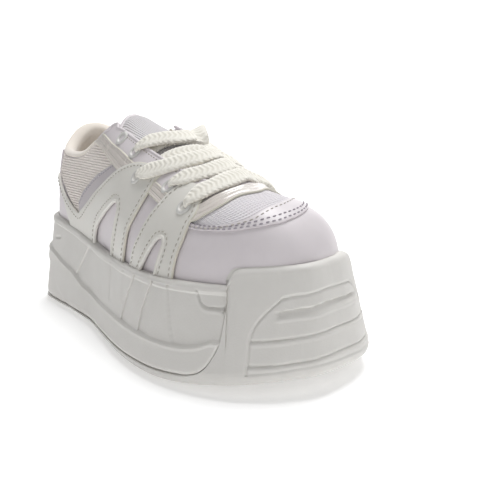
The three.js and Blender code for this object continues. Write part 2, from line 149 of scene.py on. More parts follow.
def through(points: Sequence[tuple[float, float]], step: float = 1.0) -> Array:
    """A smooth path through a few points.

    Args:
        points: Points that the path passes through, in order.
        step: Distance between the points that come back.

    Returns:
        The path's points, evenly spaced, both ends kept.
    """
    pts = np.array(points, float)
    if len(pts) > 2:
        chord = run_along(pts)
        fine = np.linspace(0, chord[-1], 40 * len(pts))
        columns = []
        for values in pts.T:
            columns.append(catmull(chord, values, fine))
        pts = np.stack(columns, -1)
    run = run_along(pts)
    count = max(int(round(run[-1] / step)), 1)
    even = np.linspace(0, run[-1], count + 1)
    return np.stack([np.interp(even, run, values) for values in pts.T], -1)


def catmull(knots: Array, values: Array, at: Array) -> Array:
    """Cubic through `values` at `knots`, with each tangent from the two neighbours."""
    tangents = np.gradient(values, knots)
    k = np.clip(np.searchsorted(knots, at, side="right") - 1, 0, len(knots) - 2)
    span = knots[k + 1] - knots[k]
    t = (at - knots[k]) / span
    return (
        (2 * t**3 - 3 * t**2 + 1) * values[k]
        + (t**3 - 2 * t**2 + t) * span * tangents[k]
        + (3 * t**2 - 2 * t**3) * values[k + 1]
        + (t**3 - t**2) * span * tangents[k + 1]
    )


# ------------------------------------------------------------------ forms of the shoe


@dataclass(frozen=True)
class SoleForm:
    """Outline and heights of the platform sole."""

    length: float = SOLE_LENGTH
    ball_half_width: float = 55.5
    flare: float = 0.17
    flare_start: float = 8.0
    toe_spring: float = 8.8
    toe_spring_start: float = 190.0
    guard_back: float = 256.5
    rubber: float = 3.5
    lateral: Profile = Profile((
        (4, 22.3), (12, 34.5), (26, 42.6), (45, 43.6), (75, 42.9), (105, 44.2), (140, 49.8),
        (170, 54.2), (195, 55.5), (220, 53.6), (243, 46.0), (260, 35.4), (272, 21.4), (277.5, 9.6)))
    medial: Profile = Profile((
        (4, 22.3), (12, 34.5), (26, 41.8), (45, 43.4), (75, 40.4), (105, 39.2), (140, 44.4),
        (170, 51.2), (195, 54.9), (220, 55.5), (243, 51.8), (260, 43.0), (272, 28.2), (277.5, 13.6)))
    rim: Profile = Profile((
        (0, 61), (50, 56.5), (90, 51.5), (120, 49), (165, 49.2), (200, 50), (220, 50.5),
        (236, 51), (280, 52)))
    bed: Profile = Profile((
        (0, 48), (50, 47), (90, 43), (120, 40), (165, 37), (200, 36), (220, 36.3), (236, 37),
        (280, 39)))
    parting: Profile = Profile((
        (0, 3.5), (50, 3.5), (90, 3.8), (120, 4.6), (165, 5.4), (200, 6), (220, 6.8), (236, 8.2),
        (242.5, 10), (247, 13), (251.3, 19.2), (253.9, 25.2), (255.7, 36), (256.4, 42)))
    guard_top: Profile = Profile((
        (256.5, 54), (257.6, 56.4), (259.5, 58.8), (262, 59.8), (281, 61)))
    lean_share: Profile = Profile(((0, 1), (10, 0.95), (25, 0.8), (110, 0.8), (150, 1)))

    def ellipse(self, x: Array) -> Array:
        """Half ellipse over the sole's length, 1 at its middle."""
        return np.sqrt(np.maximum(x * (self.length - x), 0)) / (self.length / 2)

    def half_width(self, x: Array, side: Array | int) -> Array:
        """Half width of the outline.

        Args:
            x: Stations.
            side: -1 for the lateral side and 1 for the medial one.

        Returns:
            Half widths, round to nothing at both ends.
        """
        x = np.asarray(x, float)
        widths = []
        for column in (self.lateral, self.medial):
            stations, values = np.array(column.rows, float).T
            ratio = Profile(tuple(zip(stations, values / self.ellipse(stations))))
            widths.append(ratio(x) * self.ellipse(x))
        return np.where(np.asarray(side) < 0, widths[0], widths[1])

    def tread(self, x: Array) -> Array:
        """Height of the tread over the floor, with the toe spring."""
        along = np.maximum(x - self.toe_spring_start, 0) / (self.length - self.toe_spring_start)
        return self.toe_spring * along**2

    def wall(self, share: Array, z: Array, extra: Array | float = 0.0) -> Array:
        """Points of the leaning side wall.

        Args:
            share: Places of the walk, 0 at the toe tip, through the lateral side to 0.5 at
                the back of the heel, and on through the medial side to 1.
            z: Heights over the floor.
            extra: How far outside the plain wall.

        Returns:
            Points, one row each.
        """
        x = self.station(share)
        side = np.where(share < 0.5, -1, 1)
        lean = self.flare * self.lean_share(x)
        inset = lean * np.maximum(z - self.tread(x) - self.flare_start, 0) - extra
        half = self.half_width(x, side)
        y = side * np.maximum(half - inset * np.minimum(half / 20, 1), 0)
        return np.stack([x + inset * (1 - 2 * x / self.length), y, z + 0 * x], -1)

    def cavity(self, share: Array, z: Array) -> Array:
        """Points on the wall of the hollow that the upper stands in."""
        side = np.where(share < 0.5, -1, 1)
        along = self.station(share) / self.length
        x = LAST.heel - 0.2 + along * (LAST.toe - LAST.heel + 0.4)
        return np.stack([x, side * (LAST.half(along, side) + 0.2 * np.sin(np.pi * along)), z], -1)

    def station(self, share: Array) -> Array:
        """Station x of a place on the edge, the same on both sides."""
        return self.length / 2 * (1 + np.cos(2 * math.pi * np.asarray(share)))

    def share_at(self, x: Array | float, side: Array | int = -1) -> Array:
        """Share of the walk where the edge of a side passes station x."""
        lateral = np.arccos(np.clip(2 * np.asarray(x) / self.length - 1, -1, 1)) / (2 * math.pi)
        return np.where(np.asarray(side) < 0, lateral, 1 - lateral)

    def arc(self, share: Array) -> Array:
        """Distance along the edge from the toe tip, negative on the lateral side."""
        turn = np.linspace(0, 0.5, 1500)
        x = self.station(turn)
        run = []
        for side in (-1, 1):
            y = self.half_width(x, side)
            run.append(np.concatenate([[0], np.cumsum(np.hypot(np.diff(x), np.diff(y)))]))
        lateral = -np.interp(share, turn, run[0])
        return np.where(share < 0.5, lateral, np.interp(1 - share, turn, run[1]))


@dataclass(frozen=True)
class Last:
    """The upper's outer face, as a function of station and share.

    The share runs from -1 at the lateral base over the ridge at 0 to 1 at the medial base.
    """

    sole: SoleForm = SoleForm()
    heel: float = 11.5
    toe: float = 269.0
    inset: float = 11.5
    toe_rounding: tuple[float, float, float] = (226.0, 2.6, 2.2)
    heel_lean: tuple[float, float, float, float] = (9.0, 55.0, 60.0, 70.0)
    base: Profile = Profile((
        (12, 55), (45, 52.5), (75, 49), (95, 47), (115, 45.5), (135, 45), (160, 45), (185, 46),
        (205, 47), (222, 48.5), (240, 50.5), (268, 55)))
    ridge: Profile = Profile((
        (12, 128), (45, 136), (75, 138), (95, 132), (115, 122.5), (135, 117.5), (160, 110.5),
        (185, 103), (205, 96.5), (222, 91.5), (240, 88.5), (268, 88.5)))
    square_wide: Profile = Profile((
        (75, 2.0), (95, 2.2), (115, 2.5), (135, 2.4), (160, 2.3), (185, 2.2), (222, 2.2),
        (240, 2.4), (268, 2.5)))
    square_high: Profile = Profile((
        (75, 2.0), (95, 2.2), (115, 2.3), (135, 2.2), (160, 2.0), (185, 1.95), (205, 1.95),
        (222, 2.0), (240, 2.2), (268, 2.3)))
    medial_lean: Profile = Profile(((130, 0), (185, 0.5), (220, 0.6), (240, 0.3), (254, 0)))
    collar: Profile = Profile((
        (5, 119.5), (17, 118.5), (23, 113.5), (30, 105.5), (38, 101), (48, 99), (60, 98.8),
        (72, 100.6), (80, 104.4), (89, 109), (97, 113.8), (103, 117.2), (108, 119)))
    throat: Profile = Profile((
        (85, 18.6), (104, 18.6), (115, 17.6), (130, 18.4), (150, 19.2), (175, 19), (195, 17.2),
        (205, 14.8), (210, 12), (213, 8.4), (214.5, 4)))

    def half(self, along: Array, side: Array) -> Array:
        """Half width of the upper's base at a share of its length."""
        along = np.clip(along, 0, 1)
        width = self.sole.half_width(along * self.sole.length, side)
        return width * (1 - self.inset / self.sole.ball_half_width)

    def point(self, x: Array, share: Array) -> Array:
        """Points of the last's surface.

        Args:
            x: Stations.
            share: Shares of the way down from the ridge, negative on the lateral side.

        Returns:
            Points, one row each.
        """
        x, share = np.broadcast_arrays(np.asarray(x, float), np.asarray(share, float))
        along = (x - self.heel) / (self.toe - self.heel)
        x = self.heel + np.clip(along, 0, 1) * (self.toe - self.heel)
        side = np.where(share < 0, -1, 1)
        turn = math.pi / 2 * (1 - np.minimum(np.abs(share), 1))
        start, power, root = self.toe_rounding
        round_off = np.clip((x - start) / (self.toe - start), 0, 1)
        base = self.base(x)
        ridge = base + (self.ridge(x) - base) * (1 - round_off**power) ** (1 / root)
        rise = np.maximum(ridge - base, 0)
        lean = self.medial_lean(x) * (side > 0)
        z = base + rise * np.sin(turn) ** (2 / (self.square_high(x) - 0.6 * lean))
        full = self.half(along, side)
        half = np.maximum(full, 0)
        y = side * half * np.cos(turn) ** (2 / (self.square_wide(x) - lean))
        amount, low, height, reach = self.heel_lean
        up = np.clip((z - low) / height, 0, 1.2)
        near = np.clip(1 - (x - self.heel) / reach, 0, 1)
        return np.stack([x + amount * up**1.3 * near**1.5, y, z], -1)

    def normal(self, x: Array, share: Array) -> Array:
        """Outward unit normals of the surface."""
        x = np.clip(np.asarray(x, float), self.heel + 0.8, self.toe - 0.8)
        ahead = self.point(x + 0.6, share) - self.point(x - 0.6, share)
        around = self.point(x, np.asarray(share) + 0.012) - self.point(x, np.asarray(share) - 0.012)
        cross = np.cross(ahead, around)
        return cross / np.maximum(np.linalg.norm(cross, axis=-1, keepdims=True), 1e-9)

    def off(self, x: Array, share: Array, lift: Array | float) -> Array:
        """Points at a lift over the surface."""
        lift = np.asarray(lift, float)[..., None]
        return self.point(x, share) + self.normal(x, share) * lift

    def girth(self, x: float) -> tuple[Array, Array]:
        """Arc length from the ridge down the lateral side, and the shares it is for."""
        shares = np.linspace(0, 1, 160)
        pts = self.point(np.full(160, x), -shares)
        run = run_along(pts)
        return run, shares

    def throat_share(self, x: Array, extra: float = 0.0) -> Array:
        """Share of the throat's edge at a station, `extra` mm outside it."""
        shares = np.linspace(0, 0.9, 400)
        found = []
        for station in np.atleast_1d(x):
            y = np.abs(self.point(np.full(400, station), -shares)[:, 1])
            found.append(np.interp(self.throat(station) + extra, y, shares))
        return np.array(found)

    def height_share(self, x: Array, z: Array) -> Array:
        """Share where the surface at a station has height z, read at the leaning heel."""
        shares = np.linspace(0, 1, 400)
        found = []
        for station, height in zip(np.atleast_1d(x), np.atleast_1d(z)):
            level = self.point(np.full(400, station), -shares)[:, 2]
            found.append(np.interp(-height, -level, shares))
        return np.array(found)

    def collar_share(self, x: Array, drop: float = 0.0) -> Array:
        """Share of the collar's top line at a station, `drop` mm below it."""
        x = np.atleast_1d(np.asarray(x, float))
        share = np.full(x.shape, 0.5)
        for _ in range(6):
            leaning = self.point(x, -share)[:, 0]
            share = self.height_share(x, self.collar(leaning) - drop)
        return share


SOLE = SoleForm()
LAST = Last()


# ------------------------------------------------------------------ bench: making meshes


def deselect() -> None:
    """Deselects every object, so that an operator acts on new pieces only."""
    for obj in bpy.context.view_layer.objects:
        obj.select_set(False)


def work_on(obj: Piece) -> None:
    """Makes an object the only selected and the active one."""
    deselect()
    obj.select_set(True)
    bpy.context.view_layer.objects.active = obj


def edit(obj: Piece, *steps: Callable[[], object]) -> None:
    """Runs operators in edit mode with everything selected.

    Args:
        obj: The mesh to work on.
        steps: Calls without arguments, run in order.
    """
    work_on(obj)
    bpy.ops.object.mode_set(mode="EDIT")
    bpy.ops.mesh.select_all(action="SELECT")
    for step in steps:
        step()
    bpy.ops.object.mode_set(mode="OBJECT")


def points_of(obj: Piece) -> Array:
    """The mesh's points as they are stored."""
    co = np.empty(len(obj.data.vertices) * 3)
    obj.data.vertices.foreach_get("co", co)
    return co.reshape(-1, 3)


def put_points(obj: Piece, stations: Array) -> None:
    """Places the mesh's points, given in the shoe's stations, in the frame."""
    framed = (np.asarray(stations, float) + np.array([HEEL_X, 0.0, 0.0])) * MM
    obj.data.vertices.foreach_set("co", framed.ravel())
    obj.data.update()


def weld(distance: float = 2e-5) -> None:
    """Merges doubled points of the selection."""
    bpy.ops.mesh.remove_doubles(threshold=distance)


def face_out() -> None:
    """Turns the selection's faces outwards."""
    bpy.ops.mesh.normals_make_consistent(inside=False)


def apply(obj: Piece, kind: str, **settings: object) -> None:
    """Adds a modifier with settings and applies it."""
    work_on(obj)
    modifier = obj.modifiers.new(kind.lower(), kind)
    for name, value in settings.items():
        setattr(modifier, name, value)
    bpy.ops.object.modifier_apply(modifier=modifier.name)


def smooth(obj: Piece, degrees: float = 40.0) -> None:
    """Shades smooth, with edges sharper than the angle kept."""
    work_on(obj)
    bpy.ops.object.shade_smooth_by_angle(angle=math.radians(degrees))


def wrapped_grid(name: str, columns: int, rows: int, place: Place) -> Piece:
    """A grid primitive whose points are placed by a rule.

    Args:
        name: Name of the piece.
        columns: Cells along u.
        rows: Cells along v.
        place: Rule from arrays u and v, 0 to 1, to points in stations.

    Returns:
        The object, with u and v kept in its UV map.
    """
    deselect()
    bpy.ops.mesh.primitive_grid_add(x_subdivisions=columns, y_subdivisions=rows, size=2)
    obj = bpy.context.object
    obj.name = name
    flat = (points_of(obj)[:, :2] + 1) / 2
    put_points(obj, place(flat[:, 0], flat[:, 1]))
    return obj


def closed(obj: Piece) -> Piece:
    """Welds a wrapped grid's seams and poles and turns its faces out."""
    edit(obj, weld, face_out)
    return obj


def finish_sheet(obj: Piece, thickness: float, round_edge: float) -> Piece:
    """Gives a lasted sheet its thickness below its top face, and a rounded rim."""
    apply(obj, "SOLIDIFY", thickness=thickness * MM, offset=-1.0, use_even_offset=False)
    if round_edge > 0:
        apply(obj, "BEVEL", width=round_edge * MM, segments=2, limit_method="ANGLE",
              angle_limit=math.radians(55))
    smooth(obj, 50)
    return obj


def lasted_patch(name: str, edge_a: Array, edge_b: Array, columns: int, rows: int,
                 lift: float | Callable[[Array, Array], Array], thickness: float,
                 round_edge: float = 0.3) -> Piece:
    """A sheet on the last between two edges.

    Args:
        name: Name of the piece.
        edge_a: Path of (station, share) along one edge.
        edge_b: Path of (station, share) along the other edge.
        columns: Cells along the edges.
        rows: Cells between the edges.
        lift: Height of the top face over the last, or a rule for it from u and v.
        thickness: Thickness below the top face.
        round_edge: Radius of the rim's edge.

    Returns:
        The finished sheet.
    """
    def walked(edge: Array, u: Array) -> Array:
        """Walks an edge by its length."""
        scaled = edge * FLAT
        run = run_along(scaled)
        return np.stack([np.interp(u * run[-1], run, column) for column in edge.T], -1)

    def place(u: Array, v: Array) -> Array:
        """Places the sheet between its edges."""
        mixed = walked(edge_a, u) * (1 - v)[:, None] + walked(edge_b, u) * v[:, None]
        height = lift(u, v) if callable(lift) else np.full(u.shape, lift)
        return LAST.off(mixed[:, 0], mixed[:, 1], height)

    obj = wrapped_grid(name, columns, rows, place)
    edit(obj, weld)
    outward(obj)
    return finish_sheet(obj, thickness, round_edge)


def outward(obj: Piece) -> None:
    """Flips an open sheet on the last if its faces look at the foot."""
    mesh = obj.data
    middle = Vector((0.0, 0.0, 0.06))
    votes = sum(
        1 if polygon.normal.dot(polygon.center - middle) > 0 else -1
        for polygon in mesh.polygons)
    if votes < 0:
        edit(obj, bpy.ops.mesh.flip_normals)


def ride(obj: Piece, slot: str, finish: bpy.types.Material,
         *nodes: str) -> Piece:
    """Dresses a piece, attaches it to its body, and hides the CAD nodes that it stands for.

    Args:
        obj: The finished piece.
        slot: Material slot of the record; not used.
        finish: Material to dress it with.
        nodes: CAD nodes that the piece replaces.

    Returns:
        The piece.
    """
    obj.data.materials.clear()
    obj.data.materials.append(finish)
    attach(obj, BODY)
    if nodes:
        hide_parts(*nodes)
    LOG.info("%s: %d faces", obj.name, len(obj.data.polygons))
    return obj


# ------------------------------------------------------------------ finishes


class Graph:
    """Small helper that places and joins shader nodes in one node tree."""

    def __init__(self, tree: bpy.types.NodeTree) -> None:
        """Keeps the tree that the nodes go into."""
        self.tree = tree

    def add(self, kind: str, **values: object) -> bpy.types.Node:
        """Adds a node.

        Args:
            kind: The node's type, such as ShaderNodeTexNoise.
            values: Properties of the node; a name that is a socket's sets or joins it,
                with underscores for its spaces.

        Returns:
            The node.
        """
        node = self.tree.nodes.new(kind)
        for name, value in values.items():
            socket = name.replace("_", " ")
            if hasattr(node, name) and name not in node.inputs:
                setattr(node, name, value)
            elif isinstance(value, bpy.types.NodeSocket):
                self.tree.links.new(value, node.inputs[socket])
            else:
                node.inputs[socket].default_value = value
        return node

    def math(self, operation: str, a: object, b: object = 0.0, clamp: bool = False) -> object:
        """Joins two values with a Math node and returns its output."""
        node = self.add("ShaderNodeMath", operation=operation, use_clamp=clamp)
        for socket, value in zip(node.inputs, (a, b)):
            if isinstance(value, bpy.types.NodeSocket):
                self.tree.links.new(value, socket)
            else:
                socket.default_value = value
        return node.outputs[0]

    def mix(self, factor: object, low: object, high: object) -> object:
        """Mixes two colours and returns the colour output."""
        node = self.add("ShaderNodeMix", data_type="RGBA")
        for index, value in ((0, factor), (6, low), (7, high)):
            if isinstance(value, bpy.types.NodeSocket):
                self.tree.links.new(value, node.inputs[index])
            else:
                node.inputs[index].default_value = value
        return node.outputs[2]


def new_group(name: str, inputs: dict[str, float], outputs: dict[str, str]) -> tuple:
    """Starts a shader node group with named sockets.

    Args:
        name: The group's name.
        inputs: Names and values of its float inputs.
        outputs: Names and kinds of its outputs.

    Returns:
        The group, its graph, its input node and its output node.
    """
    group = bpy.data.node_groups.new(name, "ShaderNodeTree")
    for label, value in inputs.items():
        socket = group.interface.new_socket(label, in_out="INPUT", socket_type="NodeSocketFloat")
        socket.default_value = value
    for label, kind in outputs.items():
        group.interface.new_socket(label, in_out="OUTPUT", socket_type=kind)
    graph = Graph(group)
    return group, graph, graph.add("NodeGroupInput"), graph.add("NodeGroupOutput")


FLOAT = "NodeSocketFloat"


class Effects:
    """The effects that several finishes share, each one a node group built once."""

    def __init__(self) -> None:
        """Builds the groups."""
        self.grain = self.build_grain()
        self.weave = self.build_weave()
        self.knit = self.build_knit()
        self.soil = self.build_soil()

    @staticmethod
    def build_grain() -> bpy.types.NodeTree:
        """Fine leather or foam grain: rounded cells of a given size, with soft unevenness."""
        group, g, given, out = new_group(
            "Grain", {"Cell": 0.8, "Unevenness": 0.4}, {"Height": FLOAT, "Mask": FLOAT})
        place = g.add("ShaderNodeTexCoord").outputs["Object"]
        density = g.math("DIVIDE", 1000.0, given.outputs["Cell"])
        cells = g.add("ShaderNodeTexVoronoi", feature="SMOOTH_F1", Vector=place, Scale=density)
        broad = g.add("ShaderNodeTexNoise", Vector=place,
                      Scale=g.math("MULTIPLY", density, 0.12), Detail=3.0)
        soft = g.math("MULTIPLY", broad.outputs[0], given.outputs["Unevenness"])
        g.tree.links.new(g.math("ADD", cells.outputs["Distance"], soft), out.inputs["Height"])
        g.tree.links.new(broad.outputs[0], out.inputs["Mask"])
        return group

    @staticmethod
    def build_weave() -> bpy.types.NodeTree:
        """Ribbed mesh on a piece's own UV map: rounded ribs with open cells between; the second output
        marks the cells, whose darker colour is painted shade.
        """
        group, g, given, out = new_group(
            "Weave", {"Ribs": 60.0, "Cells": 40.0}, {"Height": FLOAT, "Open": FLOAT})
        uv = g.add("ShaderNodeUVMap").outputs[0]
        split = g.add("ShaderNodeSeparateXYZ", Vector=uv)
        tau = 2 * math.pi
        rows = g.math("MULTIPLY", split.outputs["Y"], g.math("MULTIPLY", given.outputs["Ribs"], tau))
        cols = g.math("MULTIPLY", split.outputs["X"], g.math("MULTIPLY", given.outputs["Cells"], tau))
        ribs = g.math("MULTIPLY_ADD", g.math("SINE", rows), 0.5)
        ribs.node.inputs[2].default_value = 0.5
        knots = g.math("MULTIPLY_ADD", g.math("SINE", cols), 0.5)
        knots.node.inputs[2].default_value = 0.5
        height = g.math("MULTIPLY_ADD", g.math("MULTIPLY", ribs, knots), 0.35)
        g.tree.links.new(ribs, height.node.inputs[2])
        # painted shade: the open cells between ribs and knots get the darker colour
        hole_shade = g.math("MULTIPLY", g.math("SUBTRACT", 1.0, ribs), g.math("SUBTRACT", 1.0, knots))
        g.tree.links.new(height, out.inputs["Height"])
        g.tree.links.new(hole_shade, out.inputs["Open"])
        return group

    @staticmethod
    def build_knit() -> bpy.types.NodeTree:
        """Flat knitted lace on a piece's own UV map: rows of slanting stitches; the second output marks
        the gaps between them, whose darker colour is painted shade.
        """
        group, g, given, out = new_group(
            "Knit", {"Stitches": 60.0, "Columns": 4.0}, {"Height": FLOAT, "Gap": FLOAT})
        uv = g.add("ShaderNodeUVMap").outputs[0]
        split = g.add("ShaderNodeSeparateXYZ", Vector=uv)
        tau = 2 * math.pi
        across = g.math("MULTIPLY", split.outputs["Y"], given.outputs["Columns"])
        zigzag = g.math("PINGPONG", across, 0.5)
        along = g.math("MULTIPLY", split.outputs["X"], given.outputs["Stitches"])
        slant = g.math("ADD", along, g.math("MULTIPLY", zigzag, 1.6))
        stitch = g.math("MULTIPLY_ADD", g.math("SINE", g.math("MULTIPLY", slant, tau)), 0.5)
        stitch.node.inputs[2].default_value = 0.5
        column = g.math("MULTIPLY_ADD", g.math("COSINE", g.math("MULTIPLY", across, tau)), -0.5)
        column.node.inputs[2].default_value = 0.5
        height = g.math("ADD", g.math("MULTIPLY", stitch, 0.6), g.math("MULTIPLY", column, 0.5))
        # painted shade: the gaps between stitches and columns get the darker colour
        gap = g.math("MULTIPLY", g.math("SUBTRACT", 1.0, stitch), g.math("SUBTRACT", 1.0, column))
        g.tree.links.new(height, out.inputs["Height"])
        g.tree.links.new(gap, out.inputs["Gap"])
        return group

    @staticmethod
    def build_soil() -> bpy.types.NodeTree:
        """Faint handling marks: broad clouds and fine specks, 0 clean to 1 marked."""
        group, g, given, out = new_group(
            "Soil", {"Size": 30.0, "Specks": 0.3}, {"Mask": FLOAT})
        place = g.add("ShaderNodeTexCoord").outputs["Object"]
        density = g.math("DIVIDE", 1000.0, given.outputs["Size"])
        clouds = g.add("ShaderNodeTexNoise", Vector=place, Scale=density, Detail=4.0,
                       Roughness=0.6)
        fine = g.add("ShaderNodeTexNoise", Vector=place,
                     Scale=g.math("MULTIPLY", density, 14.0), Detail=2.0)
        lifted = g.add("ShaderNodeMapRange", Value=clouds.outputs[0], From_Min=0.42, From_Max=0.7)
        specks = g.add("ShaderNodeMapRange", Value=fine.outputs[0], From_Min=0.62, From_Max=0.72)
        both = g.math("ADD", lifted.outputs[0],
                      g.math("MULTIPLY", specks.outputs[0], given.outputs["Specks"]), clamp=True)
        g.tree.links.new(both, out.inputs["Mask"])
        return group


def srgb(red: int, green: int, blue: int) -> tuple[float, float, float, float]:
    """A colour given as it shows on a screen, 0 to 255, as a linear RGBA value."""
    linear = []
    for value in (red / 255, green / 255, blue / 255):
        linear.append(value / 12.92 if value <= 0.04045 else ((value + 0.055) / 1.055) ** 2.4)
    return (*linear, 1.0)


class Pattern(Enum):
    """Which shared effect shapes a finish's surface."""

    GRAIN = "grain"
    WEAVE = "weave"
    KNIT = "knit"


@dataclass(frozen=True)
class Finish:
    """One finish of the shoe.

    The colour runs from `colour` to `shade` in a weave's open cells and a knit's gaps, as painted shade,
    along a grain's uneven tone, and where the surface is marked; `first` and `second` are the pattern
    group's own two sizes.
    """

    name: str
    colour: tuple[float, float, float, float]
    shade: tuple[float, float, float, float]
    roughness: float
    pattern: Pattern
    first: float
    second: float
    bump: float
    depth: float
    marks: float = 0.25
    coat: float = 0.0
    coat_roughness: float = 0.25
    sheen: float = 0.0

    def build(self, effects: Effects) -> bpy.types.Material:
        """Builds the material.

        Args:
            effects: The shared node groups.

        Returns:
            The material.
        """
        material = bpy.data.materials.new(self.name)
        material.use_nodes = True
        material.diffuse_color = self.colour
        graph = Graph(material.node_tree)
        shader = material.node_tree.nodes["Principled BSDF"]
        texture = graph.add("ShaderNodeGroup", node_tree=getattr(effects, self.pattern.value))
        texture.inputs[0].default_value = self.first
        texture.inputs[1].default_value = self.second
        soil = graph.add("ShaderNodeGroup", node_tree=effects.soil)
        strength = 0.35 if self.pattern is Pattern.GRAIN else 0.8
        # weave and knit: painted shade in open cells and gaps; grain: uneven tone
        tone_and_shade_mask = graph.math("MULTIPLY", texture.outputs[1], strength, clamp=True)
        marked = graph.math("MULTIPLY", soil.outputs[0], self.marks)
        amount = graph.math("MAXIMUM", tone_and_shade_mask, marked)
        colour = graph.mix(amount, self.colour, self.shade)
        material.node_tree.links.new(colour, shader.inputs["Base Color"])
        rough = graph.math("MULTIPLY_ADD", soil.outputs[0], 0.1)
        rough.node.inputs[2].default_value = self.roughness
        material.node_tree.links.new(rough, shader.inputs["Roughness"])
        bump = graph.add("ShaderNodeBump", Strength=self.bump, Distance=self.depth * MM,
                         Height=texture.outputs[0])
        material.node_tree.links.new(bump.outputs[0], shader.inputs["Normal"])
        shader.inputs["Coat Weight"].default_value = self.coat
        shader.inputs["Coat Roughness"].default_value = self.coat_roughness
        shader.inputs["Sheen Weight"].default_value = self.sheen
        return material


class Wardrobe:
    """Every finish of the shoe, built once."""

    def __init__(self) -> None:
        """Builds the shared effects and all the materials."""
        effects = Effects()
        finishes = (
            Finish("foam", srgb(226, 224, 220), srgb(207, 204, 199), 0.52, Pattern.GRAIN,
                   1.1, 0.8, 0.35, 0.12),
            Finish("rubber", srgb(225, 223, 219), srgb(206, 203, 198), 0.5, Pattern.GRAIN,
                   1.0, 0.8, 0.4, 0.12),
            Finish("pearl_leather", srgb(229, 223, 226), srgb(215, 208, 212), 0.38, Pattern.GRAIN,
                   0.55, 0.3, 0.15, 0.05, coat=0.1, coat_roughness=0.35),
            Finish("pearl_dark", srgb(200, 194, 197), srgb(184, 178, 182), 0.42, Pattern.GRAIN,
                   0.55, 0.3, 0.15, 0.05, coat=0.1, coat_roughness=0.35),
            Finish("gloss_leather", srgb(231, 229, 223), srgb(217, 215, 208), 0.4, Pattern.GRAIN,
                   0.5, 0.3, 0.1, 0.04, coat=0.08, coat_roughness=0.3),
            Finish("side_mesh", srgb(248, 240, 234), srgb(208, 198, 191), 0.85, Pattern.WEAVE,
                   6.5, 5.0, 1.0, 0.35, sheen=0.2),
            Finish("vamp_mesh", srgb(240, 236, 240), srgb(206, 200, 206), 0.85, Pattern.WEAVE,
                   5.0, 5.0, 1.0, 0.35, sheen=0.2),
            Finish("tongue_mesh", srgb(222, 219, 221), srgb(194, 190, 193), 0.85, Pattern.WEAVE,
                   8.0, 8.0, 1.0, 0.3, sheen=0.2),
            Finish("lining", srgb(244, 236, 226), srgb(228, 218, 207), 0.95, Pattern.GRAIN,
                   0.7, 1.2, 0.5, 0.2, sheen=0.5),
            Finish("film", srgb(226, 219, 213), srgb(205, 197, 190), 0.22, Pattern.GRAIN,
                   0.6, 0.4, 0.2, 0.05, coat=0.6, coat_roughness=0.12),
            Finish("piping", srgb(224, 221, 208), srgb(206, 202, 188), 0.55, Pattern.GRAIN,
                   0.5, 0.3, 0.2, 0.05),
            Finish("enamel", srgb(218, 217, 214), srgb(204, 203, 199), 0.45, Pattern.GRAIN,
                   0.8, 0.3, 0.05, 0.03, coat=0.05),
            Finish("lace", srgb(252, 249, 240), srgb(226, 222, 210), 0.9, Pattern.KNIT,
                   3.6, 4.0, 0.9, 0.45, sheen=0.3),
            Finish("thread", srgb(184, 179, 170), srgb(166, 160, 151), 0.7, Pattern.GRAIN,
                   0.3, 0.3, 0.2, 0.05),
            # painted shade for the eyelets' holes
            Finish("shade", srgb(92, 88, 84), srgb(80, 76, 72), 0.9, Pattern.GRAIN,
                   0.5, 0.3, 0.1, 0.02),
            Finish("thread_dark", srgb(166, 160, 168), srgb(150, 144, 152), 0.7, Pattern.GRAIN,
                   0.3, 0.3, 0.2, 0.05),
        )
        self.materials = {finish.name: finish.build(effects) for finish in finishes}

    def __getitem__(self, name: str) -> bpy.types.Material:
        """The material of a finish."""
        return self.materials[name]


# ------------------------------------------------------------------ studio


